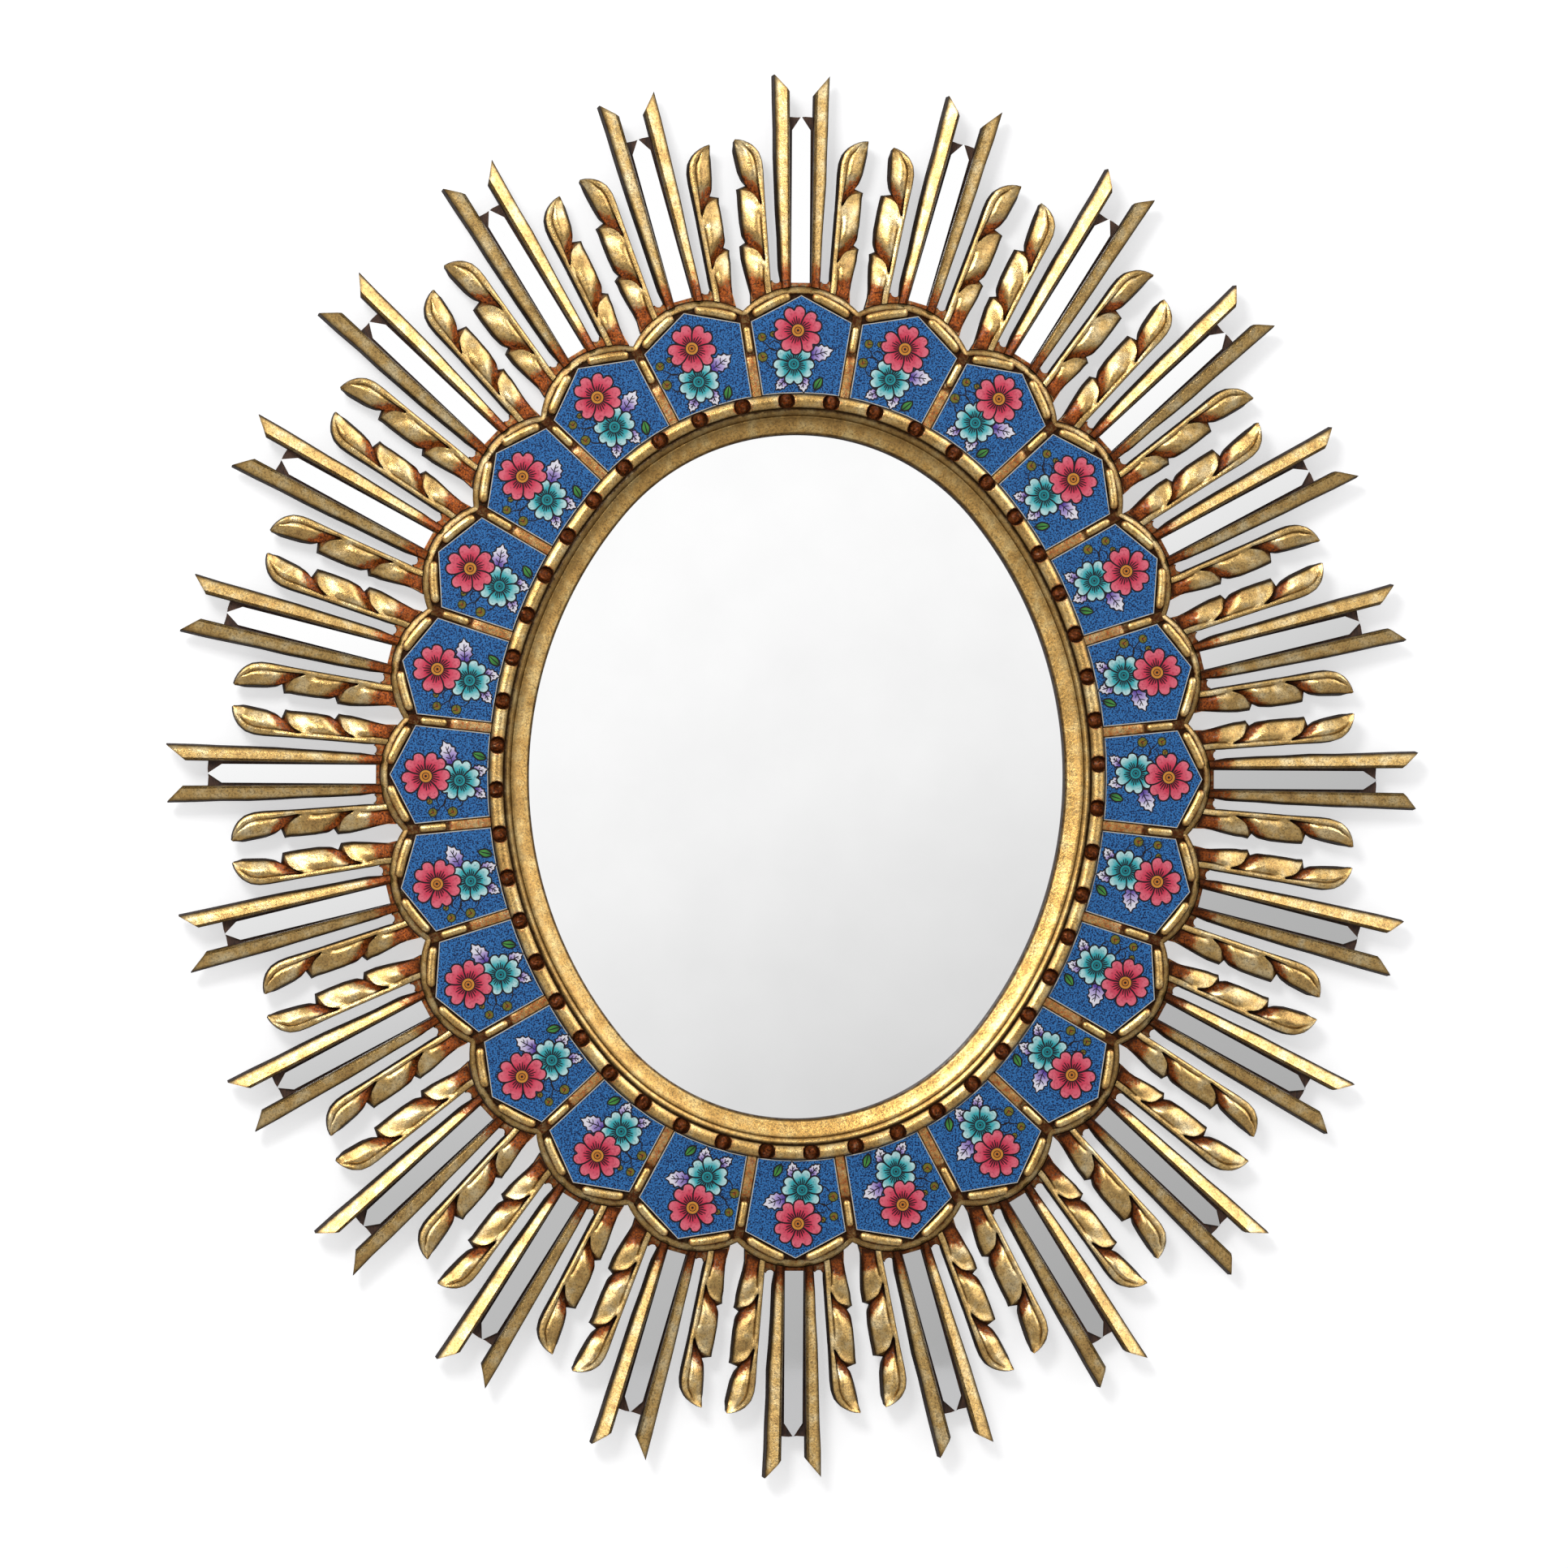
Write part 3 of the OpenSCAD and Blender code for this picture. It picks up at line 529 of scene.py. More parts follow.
for i in range(sectors):
    point = oval_point(tile_a(i), tile_point)
    for side in (-1, 1):
        corner = line_point(i + side / 2, tile_corner, -side * divider_w / 2)
        run = (point - corner) / np.hypot(*(point - corner))
        out = side * np.array([run[1], -run[0]])
        p = corner + (rod_from + rod_rng.uniform(-0.3, 0.3)) * run + rod_out * out
        q = point - (rod_short + rod_rng.uniform(-0.3, 0.3)) * run + rod_out * out
        take_rod(capsule(p, q, rod_r, rod_level, bow=rod_bow * side), 0.0, 0.45)
    # The bar between this tile and the next: a worn flat strip, then a bead between flanks.
    a = tile_a(i + 0.5)
    bar = []
    # The glaze-and-shade mark puts painted shade on the bar's flanks and its outer half.
    for s in (surround_in + 0.05, 24, 28, 32, 36, 39.5, 41.0, 42.0, 46, 50, 54, 57, 60, 61.3):
        top = strip_top if s < divider_bead else flank_top
        for u, h in ((-bar_half, 15.99), (-bar_half, top - 0.5), (-2.0, top), (-0.7, top + 0.1),
                     (0.7, top + 0.1), (2.0, top), (bar_half, top - 0.5), (bar_half, 15.99)):
            bar.append((*(oval_point(a, s) + u * across(a)), h + rod_rng.uniform(-0.06, 0.06),
                        0.56 if s < divider_bead else 0.7, 0.75 if abs(u) > 2.2 or s > divider_bead else 0.12))
    rings = [[p[:3] for p in bar[n:n + 8]] for n in range(0, len(bar), 8)]
    ring_heap.take(loft(rings), [p[3] for p in bar], [p[4] for p in bar])
    p = oval_point(a, bar_bead_ends[0] + rod_rng.uniform(-0.5, 0.5))
    q = oval_point(a, bar_bead_ends[1] + rod_rng.uniform(-0.4, 0.4))
    take_rod(capsule(p, q, bar_bead_r, bar_bead_level), 0.05, 0.5)
gilded_piece("tile_ring", "tile_surround", (ring_heap.points, ring_heap.faces), ring_heap.worn, ring_heap.glaze,
             [rod_gilding])

# --- Painted glass tiles ---
# Clear glass, 2.5 mm thick, painted on its back by pen and brush: ink lines and flowers first,
# then the stippled blue ground. Each is cut to its recess, ground at the edge and bedded in.


def glass_paint(name, stops, fleck_mm, fleck_low, fleck_high, fleck_tone):
    """Enamel seen through glass: a colour that runs with the shade mark, brush flecks of the
    given size, and a hard clear face over it."""
    finish, shader, put, place = start_finish(name)
    shade = put("Attribute", attribute_name="shade").outputs["Fac"]
    wash = put("TexNoise", {"Vector": place, "Scale": per_mm(3.0), "Detail": 3.0})
    drift = put("Math", {0: wash, 1: 0.5, 2: -0.25}, operation="MULTIPLY_ADD")
    run = put("Math", {0: shade, 1: drift}, operation="ADD")
    tone = put("ValToRGB", {"Fac": run}, stops)
    fleck = put("TexNoise", {"Vector": place, "Scale": per_mm(fleck_mm), "Detail": 2.0, "Roughness": 0.6})
    dots = put("MapRange", {"Value": fleck, "From Min": fleck_low, "From Max": fleck_high})
    both = put("Mix", {0: dots, 6: tone, 7: linear(fleck_tone)}, data_type="RGBA")
    put(shader, {"Base Color": both.outputs[2], "Roughness": 0.35, "IOR": 1.5, "Coat Weight": 0.2,
                 "Coat Roughness": 0.05, "Specular IOR Level": 0.1})
    return finish


# Each is enamel behind glass; its comment is what the eye gets from it.
tile_finishes = [
    # Pale ground edge of the glass, slightly gritty.
    glass_paint("ground_glass_edge", [(0.0, "#B9B2A0"), (1.0, "#E6E2D6")], 0.5, 0.6, 0.8, "#8C8474"),
    # Cobalt ground, densely stippled with navy. The real dots are 0.4 mm wide and a little less
    # than 1 mm apart, which is too fine to show, so they are drawn 0.8 mm wide.
    glass_paint("stippled_cobalt", [(0.2, "#2B69AE"), (0.8, "#4089CE")], 0.8, 0.49, 0.55, "#0A2450"),
    # Black pen lines with a touch of brown.
    glass_paint("pen_ink", [(0.0, "#140F12"), (1.0, "#1E1720")], 0.5, 0.7, 0.9, "#2A2228"),
    # Rose petals: deep red at the base, rose, then a paler rim.
    glass_paint("rose_enamel", [(0.1, "#A81E36"), (0.4, "#DC3E5A"), (0.9, "#F07688")], 1.0, 0.5, 0.8, "#B82E48"),
    # Turquoise petals: teal at the base and nearly white at the rim.
    glass_paint("turquoise_enamel", [(0.1, "#12808E"), (0.5, "#42B6BE"), (0.95, "#CDEFEF")], 1.0, 0.54, 0.8,
                "#1F96A2"),
    # Amber flower eyes.
    glass_paint("amber_enamel", [(0.0, "#B8641E"), (1.0, "#E39A3C")], 0.5, 0.66, 0.8, "#A0521A"),
    # Teal flower eyes.
    glass_paint("teal_enamel", [(0.0, "#0F6D78"), (1.0, "#2BA0A8")], 0.5, 0.66, 0.8, "#0C5560"),
    # White leaves that turn violet towards the stalk.
    glass_paint("violet_white_enamel", [(0.1, "#5E44A4"), (0.42, "#B9A6DC"), (0.75, "#F2EFF8")], 0.6, 0.7, 0.85,
                "#8E7CC4"),
    # Leaf green.
    glass_paint("leaf_green_enamel", [(0.1, "#1E5A34"), (0.8, "#58A94C")], 0.5, 0.62, 0.8, "#1C4A2C"),
    # Olive and rust of the buds.
    glass_paint("olive_enamel", [(0.3, "#A8541C"), (0.75, "#76782A")], 0.7, 0.56, 0.7, "#4C4A1C"),
]
GROUND_EDGE, COBALT, INK, ROSE, TURQUOISE, AMBER, TEAL, VIOLET, GREEN, OLIVE = range(10)


def curve(p0, p1, p2, p3):
    """Three points of the smooth curve from p1 towards p2, between its neighbours p0 and p3."""
    p0, p1, p2, p3 = (np.array(p, dtype=float) for p in (p0, p1, p2, p3))
    return [0.5 * (2 * p1 + (p2 - p0) * t + (2 * p0 - 5 * p1 + 4 * p2 - p3) * t * t
                   + (3 * p1 - p0 - 3 * p2 + p3) * t ** 3) for t in (0 / 3, 1 / 3, 2 / 3)]


def rounded(corners):
    """Smooth closed outline through the corners."""
    n = len(corners)
    return [p for k in range(n) for p in curve(*(corners[(k + d) % n] for d in (-1, 0, 1, 2)))]


def rounded_path(path):
    """Smooth open path through the points."""
    spread = [path[0], *path, path[-1]]
    out = [p for k in range(len(path) - 1) for p in curve(*spread[k:k + 4])]
    return out + [np.array(path[-1], dtype=float)]


def signed_area(outline):
    """Area of the outline, positive where it runs counterclockwise."""
    x, y = np.array(outline).T
    return float(np.sum(x * np.roll(y, -1) - np.roll(x, -1) * y)) / 2


def swelled(outline, by):
    """The outline moved outwards by a pen line's width."""
    points = np.array(outline)
    edge = np.roll(points, -1, 0) - np.roll(points, 1, 0)
    edge /= np.maximum(np.hypot(edge[:, 0], edge[:, 1]), 1e-9)[:, None]
    normal = np.stack([edge[:, 1], -edge[:, 0]], 1)
    return list(points + normal * (by if signed_area(points) > 0 else -by))


def placed(outline, centre, turn, size=1.0):
    """The outline turned clockwise from outward, sized and moved to its place on the tile."""
    t = radians(turn)
    return [np.array([centre[0] + size * (p[0] * cos(t) + p[1] * sin(t)),
                      centre[1] + size * (p[1] * cos(t) - p[0] * sin(t))]) for p in outline]


def pen_line(path, width):
    """Thin shape along a path, fine at both ends."""
    left, right = [], []
    for k, p in enumerate(path):
        run = np.array(path[min(k + 1, len(path) - 1)]) - np.array(path[max(k - 1, 0)])
        run = run / max(np.hypot(*run), 1e-9)
        half = 0.5 * width * (0.45 + 0.55 * sin(pi * (k + 0.4) / (len(path) - 0.2)))
        left.append(np.array(p) + half * np.array([-run[1], run[0]]))
        right.append(np.array(p) - half * np.array([-run[1], run[0]]))
    return left + right[::-1]


def two_sided(side, tip):
    """Outline from its right side, mirrored to the left, and the point between them."""
    return [(-x, y) for x, y in side] + [(0.0, tip)] + [(x, y) for x, y in reversed(side)]


petal = rounded(two_sided([(0.9, 2.2), (2.2, 3.6), (3.8, 5.6), (4.9, 7.9), (4.9, 9.8), (3.6, 11.3), (1.6, 11.5)], 9.8))
notched_leaf = two_sided([(0.6, -5.8), (2.6, -4.6), (2.2, -3.4), (3.9, -2.0), (3.1, -0.6), (3.8, 1.0), (2.4, 1.9),
                          (2.4, 3.6), (1.0, 4.1)], 6.0)
plain_leaf = rounded([(0.0, -3.2), (1.4, -1.4), (1.6, 0.6), (0.0, 3.4), (-1.6, 0.6), (-1.4, -1.4)])
disc = [(sin(k * pi / 10), cos(k * pi / 10)) for k in range(20)]
pen = 0.8
ring_pen = 0.45
stroke = 0.62
vein = 0.5


def flower(shapes, centre, turns, size, colour, eye, eye_r):
    """Five petals with pen outlines, strokes from the base, and a ringed eye."""
    for t in turns:
        shape = placed(petal, centre, t, size * 0.97)
        shapes.append((INK, swelled(shape, pen), None))
        shapes.append((colour, shape, (centre, 2.6 * size, 11.0 * size)))
        for lean in (-20, -8, 4, 15):
            path = placed([(0.0, 2.6), (lean * 0.012, 4.8), (0.0, 7.4 - abs(lean) * 0.09)], centre, t + lean, size)
            shapes.append((INK, pen_line(path, stroke), None))
    for kind, r in ((INK, eye_r + ring_pen), (eye, eye_r), (INK, eye_r * 0.62), (eye, eye_r * 0.5),
                    (INK, eye_r * 0.2)):
        shapes.append((kind, placed(disc, centre, 0, r), (centre, 0.0, eye_r)))


def veined_leaf(shapes, outline, centre, turn, size, colour):
    """Leaf with a pen outline, a middle vein and short side veins."""
    shape = placed(outline, centre, turn, size)
    foot = placed([(0.0, -5.8)], centre, turn, size)[0]
    shapes.append((INK, swelled(shape, pen), None))
    shapes.append((colour, shape, (foot, 0.5, 11.0 * size)))
    shapes.append((INK, pen_line(placed([(0, -5.0), (0.2, -2), (0, 1), (0, 3.2)], centre, turn, size), 0.6), None))
    if outline is notched_leaf:
        for y, dx in ((-3.4, 1.9), (-3.2, -1.9), (-0.6, 2.1), (-0.4, -2.1), (1.2, 1.4)):
            path = placed([(0, y), (dx * 0.6, y + 0.7), (dx, y + 1.5)], centre, turn, size)
            shapes.append((INK, pen_line(path, vein), None))


# The spray in tile coordinates: across to the right and out from the opening.
stalks = [[(-15.5, 44.5), (-13.4, 46.2), (-11.0, 45.6), (-9.2, 43.2)],
          [(-19.0, 40.0), (-15.4, 42.4), (-12.2, 41.6), (-9.6, 38.0)],
          [(-18.6, 46.0), (-16.6, 44.4), (-14.2, 41.9), (-11.4, 41.8)],
          [(-16.9, 36.4), (-15.2, 33.8), (-12.4, 33.0), (-10.2, 34.8)]]
buds = [(-19.0, 48.0, 1.9), (-18.6, 38.2, 2.2), (-13.6, 49.6, 1.2)]


def tile_picture(rng):
    """One flower spray, moved and turned a little from tile to tile."""
    dx, dy = rng.uniform(-0.7, 0.7), rng.uniform(-0.6, 0.6)
    swing = rng.uniform(-7, 7)
    shapes = []
    for path in stalks:
        shapes.append((INK, pen_line([p + (dx, dy) for p in rounded_path(path)], stroke), None))
    for x, y, r in buds:
        centre = (x + dx, y + dy)
        shapes.append((INK, placed(disc, centre, 0, r + ring_pen), None))
        shapes.append((OLIVE, placed(disc, centre, 0, r), (centre, 0.0, r)))
        shapes.append((INK, pen_line(placed([(-0.8, 0.6), (0, -0.2), (0.9, 0.5)], centre, 20, r), vein), None))
    for outline, x, y, turn, size, colour in (
            (notched_leaf, 10.6, 40.6, 72, 1.0, VIOLET), (notched_leaf, -9.2, 24.9, 222, 0.62, VIOLET),
            (notched_leaf, 1.6, 25.3, 172, 0.72, VIOLET), (plain_leaf, 9.0, 25.2, 28, 0.95, GREEN)):
        veined_leaf(shapes, outline, (x + dx, y + dy), turn + swing, size, colour)
    flower(shapes, (-3.1 + dx, 34.9 + dy), [swing + t for t in (-40, 32, 104, 176, 248)], 0.86, TURQUOISE, TEAL, 2.7)
    flower(shapes, (-1.1 + dx, 51.6 + dy), [swing + t for t in (-15, 57, 129, 198, 268)], 1.02, ROSE, AMBER, 3.0)
    return shapes


tile_top = 18.5
tile_back = 16.02
tile_in = surround_in + 0.25
tile_edge = divider_w / 2 + 0.25
ground_w = 0.42
for i in range(sectors):
    a = tile_a(i)
    origin = oval_point(a, 0.0)
    cut = [line_point(i - 0.5, tile_in, tile_edge), line_point(i - 0.25, tile_in, 0), line_point(i, tile_in, 0),
           line_point(i + 0.25, tile_in, 0), line_point(i + 0.5, tile_in, -tile_edge),
           line_point(i + 0.5, tile_corner, -tile_edge), line_point(i, tile_point, 0),
           line_point(i - 0.5, tile_corner, tile_edge)]
    outer = [np.array([float((p - origin) @ across(a)), float((p - origin) @ along(a))]) for p in cut]
    glass = []
    for k, p in enumerate(outer):
        glass += [p + (outer[(k + 1) % len(outer)] - p) * t for t in (0.0, 0.25, 0.5, 0.75)]
    # Every shape lies over those before it, and the face is cut along all their outlines.
    layers = [(GROUND_EDGE, glass, None), (COBALT, swelled(glass, -ground_w), None)]
    layers += tile_picture(random.Random(100 + i))
    flat, loops = [], []
    for _, outline, _ in layers:
        base = len(flat)
        outline = outline if signed_area(outline) > 0 else outline[::-1]
        flat += [Vector((float(p[0]), float(p[1]))) for p in outline]
        loops.append(list(range(base, base + len(outline))))
    spots, _, tris, _, _, owners = delaunay_2d_cdt(flat, [], loops, 1, 1e-4, True)
    points = [(*(origin + p[0] * across(a) + p[1] * along(a)), tile_top) for p in spots]
    faces, picks, shades, edges_seen = [], [], [], {}
    for tri, owner in zip(tris, owners):
        if not owner:
            continue
        kind, _, run = layers[max(owner)]
        faces.append(tuple(tri))
        picks.append(kind)
        for v in tri:
            if run is None:
                shades.append(0.5)
            else:
                (cx, cy), near, far = run
                away = hypot(spots[v][0] - cx, spots[v][1] - cy)
                shades.append(min(max((away - near) / (far - near), 0.0), 1.0))
        for p, q in zip(tri, tri[1:] + tri[:1]):
            edges_seen[(p, q)] = True
    # Ground sides and back of the glass, from the loop of edges that have a face on one side only.
    rim = {p: q for p, q in edges_seen if (q, p) not in edges_seen}
    start = max(rim, key=lambda v: spots[v].y)
    ring = [start]
    while rim[ring[-1]] != start:
        ring.append(rim[ring[-1]])
    base = len(points)
    points += [(points[v][0], points[v][1], tile_back) for v in ring]
    for k in range(len(ring)):
        n = (k + 1) % len(ring)
        faces.append((ring[n], ring[k], base + k, base + n))
    faces.append(tuple(base + k for k in range(len(ring))))
    picks += [GROUND_EDGE] * (len(ring) + 1)
    shades += [0.5] * (5 * len(ring))
    tile = start_mesh(f"painted_tile_{i + 1:02d}", points, faces, tile_finishes, picks)
    mark(tile, "shade", "CORNER", shades)
    hang(tile, f"glass_tile_{i + 1:02d}")

# --- Carved rays ---
# 24 pieces of cedar, each sawn to a leaf, a blade, a web, a blade and a leaf, then carved with
# a gouge, gilded over bole and rubbed through in the hollows. Their tongues lie on the board.

# Leaf on the carving: yellow gold that turns olive brown, over red bole.
ray_gilding = gilding("leaf_over_bole", "#B48A4C", "#DCB46C", "#F3DDAC", "#34110A", "#D06C2A", 0.22)
# Stained cedar: dark brown with streaks 2 mm wide, at the back and on the webs.
stained_cedar = timber("stained_cedar", "#2C1C16", "#5A3C2A", 2.0, (1.0, 1.0, 0.2), 0.75)
GILT, CEDAR = 0, 1
ray_line = scallop_reach + 7.5
ray_turn = 2.0
board_edge = 60.2
# Levels of the backs, a little apart so that no two faces share a plane.
wall_level = 5.0
root_level = 5.1
bed_level = 5.2
web_level = 5.3
# The blade: its sides at the foot, in the middle and at the end, where its end's corners lie,
# the levels of its wall, edge, ridge and back, the slope of the back and the flare of its side.
blade_rows = 40
blade_in = 4.95
blade_spread = 1.25
blade_out = [9.4, 12.3, 14.0]
blade_tip = 179.2
blade_heel = 170.4
blade_wall = 15.3
blade_edge = 16.1
blade_ridge = 17.4
blade_level = 17.2
blade_slope = 0.40
blade_flare = 0.8


def blade_shell(rng):
    """Bar on the right of the sliver, with a ridge near it and a slanting end."""
    rings, worn, glaze = [], [], []
    wob = [rng.uniform(-0.22, 0.22) for _ in range(9)]
    tip = blade_tip + rng.uniform(-1.2, 0.0)
    heel = blade_heel + rng.uniform(-1.5, 1.0)
    for k in range(blade_rows + 1):
        t = k / blade_rows
        w = np.interp(t * 8, range(9), wob)
        u_in = blade_in + blade_spread * t
        u_out = np.interp(t, [0.0, 0.5, 1.0], blade_out) + w
        wide = u_out - u_in
        ridge = u_in + 1.55 + 0.3 * w
        # Points across the blade and how dark the glaze and painted shade lie there, from the sliver outwards.
        row = [(u_in, wall_level), (u_in, blade_wall), (u_in + 0.07 * wide, blade_edge),
               (ridge, blade_ridge + 0.25 * w)]
        row += [(u_in + share * wide, blade_level - (share * wide - 1.5) * blade_slope + 0.2 * w)
                for share in (0.38, 0.7, 0.87)]
        row += [(u_out, blade_level - (wide - 1.5) * blade_slope - 0.7), (u_out, wall_level)]
        lines = (1, 1, 0.7, 0, 0, 0.05, 0.45, 1, 1)
        ring = []
        for (u, h), line in zip(row, lines):
            s_end = heel + (tip - heel) * (u - u_in) / wide
            s_start = scallop_s(min(u, 26))
            s = s_start + (s_end - s_start) * t
            ring.append((u, s, h))
            worn.append(0.98 - smooth((s - 77.0) / 15.0) * 0.96)
            # Painted shade: the mark also darkens the end and the foot by the scallop.
            glaze.append(max(line, smooth((t - 0.985) / 0.015) * 0.7, 0.3 - 0.3 * smooth((s - 74.0) / 8.0)))
        # The saw leaves the side leaning out towards the wall.
        ring[-1] = (u_out + blade_flare * smooth((ring[-1][1] - 76.0) / 8.0), *ring[-1][1:])
        rings.append(ring)
    return loft(rings), worn, glaze


spine_path = [(14.4, 71.0), (15.0, 76.5), (15.6, 85.0), (16.4, 95.0), (17.2, 105.3), (18.3, 119.8), (19.0, 131.0),
              (19.6, 135.6), (21.0, 139.8), (23.8, 143.2), (27.4, 145.4), (30.6, 146.3), (33.2, 146.4)]
# Outline of each leaflet, and where it starts and ends along the spine. The last takes in the tip.
leaflet_outer = [[(24.0, 66.9), (25.0, 71.5), (26.8, 79.0), (28.6, 87.0), (29.3, 92.8)],
                 [(26.6, 94.6), (28.6, 97.6), (30.0, 104.0), (30.9, 113.0), (31.4, 120.9)],
                 [(26.9, 122.6), (28.8, 125.2), (30.5, 130.0), (31.7, 135.5), (32.9, 141.0), (33.7, 145.6)]]
leaflet_inner = [(71.0, 83.6), (84.2, 111.6), (112.2, None)]
leaflet_rows = 18
spine_w = 3.3
crest_level = 15.7
belly_level = 16.0
hollow_level = 11.2
first_level = 13.95
# How much a leaflet falls towards its rim, is gouged beside the spine, dips before its end, lifts
# at its end and arches over the next, and how much the leaf's side walls flare.
rim_fall = 3.4
gouge = 1.7
end_dip = 0.6
end_lift = 0.45
tip_arch = 2.3
leaf_flare = (0.5, 0.9)


def spine_at(s):
    """Point of the straight part of the spine at distance s."""
    path = np.array(spine_path[:8])
    return np.array([np.interp(s, path[:, 1], path[:, 0]), s])


def along_path(path, t):
    """Point at the share t of a path's length."""
    path = np.array(path, dtype=float)
    steps = np.hypot(*np.diff(path, axis=0).T)
    way = np.concatenate([[0.0], np.cumsum(steps)])
    return np.array([np.interp(t * way[-1], way, path[:, 0]), np.interp(t * way[-1], way, path[:, 1])])


def leaf_shell(rng):
    """Leaf on the right of the ray: a raised spine and three leaflets, each a hollow that
    swells to a belly and ends in a step over the next."""
    rings, worn, glaze = [], [], []
    last_path = [tuple(spine_at(leaflet_inner[2][0]))] + spine_path[5:]
    grow = [rng.uniform(-0.9, 0.3) for _ in range(3)]
    slide = [rng.uniform(-1.2, 1.2) for _ in range(2)] + [0.0]
    for n, (s0, s1) in enumerate(leaflet_inner):
        first, last = n == 0, n == 2
        for k in range(leaflet_rows + 1):
            t = k / leaflet_rows
            slid = slide[n] * t + (0.0 if first else slide[n - 1] * (1 - t))
            inner = along_path(last_path, t) if last else spine_at(s0 + (s1 - s0) * t + slid)
            outer = along_path(leaflet_outer[n], t)
            outer += (grow[n] * min(1.0, 3 * t, 6 * (1 - t) + (0.0 if last else 0.4)), slid)
            run = outer - inner
            length = max(float(np.hypot(*run)), 0.4)
            run = run / length
            bend = np.array([-run[1], run[0]])
            strip = min(spine_w, length * 0.36)
            rise = smooth((t - 0.12) / 0.42) if first else smooth((t - 0.05) / 0.36)
            drop, drop_from = (1.9, 0.5) if last else (1.2, 0.6)
            belly = belly_level - drop * max(0.0, (t - drop_from) / (1 - drop_from)) ** 2
            crest = crest_level - (smooth((t - 0.75) / 0.25) if last else 0.0)
            lean = smooth((inner[1] - 72.0) / 10.0)
            near_tip = smooth((t - 0.86) / 0.1)
            # Side wall and spine: points, worn marks and glaze-and-shade marks.
            row = [(*(inner - run * leaf_flare[0] * lean), wall_level), (*inner, crest - 1.3),
                   (*(inner + run * 0.4), crest - 0.55), (*(inner + run * strip * 0.5), crest),
                   (*(inner + run * (strip - 0.3)), crest - 0.2)]
            worn += [1.0, 0.1, 0.0, 0.0, 0.05]
            glaze += [1.0, 1.0, 0.6, 0.0, 0.4]
            # The leaflet from the spine outwards.
            for v in (0.03, 0.12, 0.26, 0.42, 0.58, 0.74, 0.88, 0.96, 1.0):
                pillow = sin(pi * v)
                base = first_level if first else hollow_level
                level = base + (belly - base) * rise
                level -= rim_fall * v * v * rise * (0.6 if last and t > 0.8 else 1.0)
                level -= end_dip * pillow * smooth((t - 0.6) / 0.2) * (1 - smooth((t - 0.9) / 0.1))
                by_side = max(0.0, 1 - v / 0.34) ** 2
                level -= gouge * by_side * (1 - smooth((t - 0.7) / 0.22)) * (1.0 if first else rise)
                level = max(level, 13.8) if first and t < 0.3 else level
                level -= 0.25 if v == 0.96 else 0.7 if v == 1.0 else 0.0
                level += 0.0 if last else end_lift * near_tip * pillow
                arch = 0.0 if last else tip_arch * pillow ** 1.3 * smooth((t - 0.45) / 0.55)
                row.append((*(inner + run * (strip + v * (length - strip)) + bend * arch), level))
                hollow = 1.0 - (smooth((t - 0.3) / 0.36) if first else smooth((t - 0.1 - 0.08 * v) / 0.24))
                worn.append(hollow)
                # Painted shade: the mark darkens the gouge beside the spine, the rim, the hollow and the belly.
                by_spine = 0.8 * (1 - smooth(v / 0.12)) * (1 - smooth((t - 0.7) / 0.25))
                by_rim = 1.05 * smooth((v - 0.8) / 0.2)
                in_hollow = 0.6 * hollow * (1 - smooth(t / 0.14))
                on_belly = 0.3 * smooth((t - 0.5) / 0.2) * pillow * (1 - near_tip)
                glaze.append(max(by_spine, by_rim, in_hollow, on_belly, 0.5 * smooth((t - 0.98) / 0.02)))
            flare = leaf_flare[1] * lean * (1 - smooth((t - 0.8) / 0.2) if last else 1.0)
            row.append((*(outer + run * flare), wall_level))
            worn.append(1.0)
            glaze.append(1.0)
            # A step starts a hair beyond the one before, so that its face isn't folded flat.
            rings.append([(p[0], p[1] + 0.02, p[2]) for p in row] if k == 0 and not first else row)
    return loft(rings), worn, glaze


root_steps = 82
root_half = 24.6
root_top = 13.7
root_reach = 75.6
slot_mid = 12.2
slot_end = 77.5
slot_r = 2.3


def root_shell():
    """Block between the scallop and the slots that joins the blades and the leaves."""
    rings = []
    for k in range(root_steps + 1):
        u = -root_half + 2 * root_half * k / root_steps
        s = scallop_s(u)
        slot = slot_r ** 2 - (abs(u) - slot_mid) ** 2
        if slot > 0 and abs(u) >= 10:
            reach = slot_end - sqrt(slot)
        else:
            reach = root_reach - 3.0 * smooth((abs(u) - 20) / 4)
        reach = max(reach, s + 1.6)
        rings.append([(u, s, root_level), (u, s, root_top - 0.5), (u, s + 0.4, root_top),
                      (u, reach - 0.4, root_top), (u, reach, root_top - 0.4), (u, reach, root_level)])
    return loft(rings)


def slab(corners, low, high):
    """Flat shell with upright sides."""
    return loft([[(*p, low) for p in corners], [(*p, high) for p in corners]])


def on_ray(shell, mirrored=False):
    """The shell moved from ray coordinates to the plan, for the ray at foot and turn_a."""
    side = -1.0 if mirrored else 1.0
    return [(*(foot + (p[1] - ray_line) * along(turn_a) + side * p[0] * across(turn_a)), p[2])
            for p in shell[0]], shell[1]


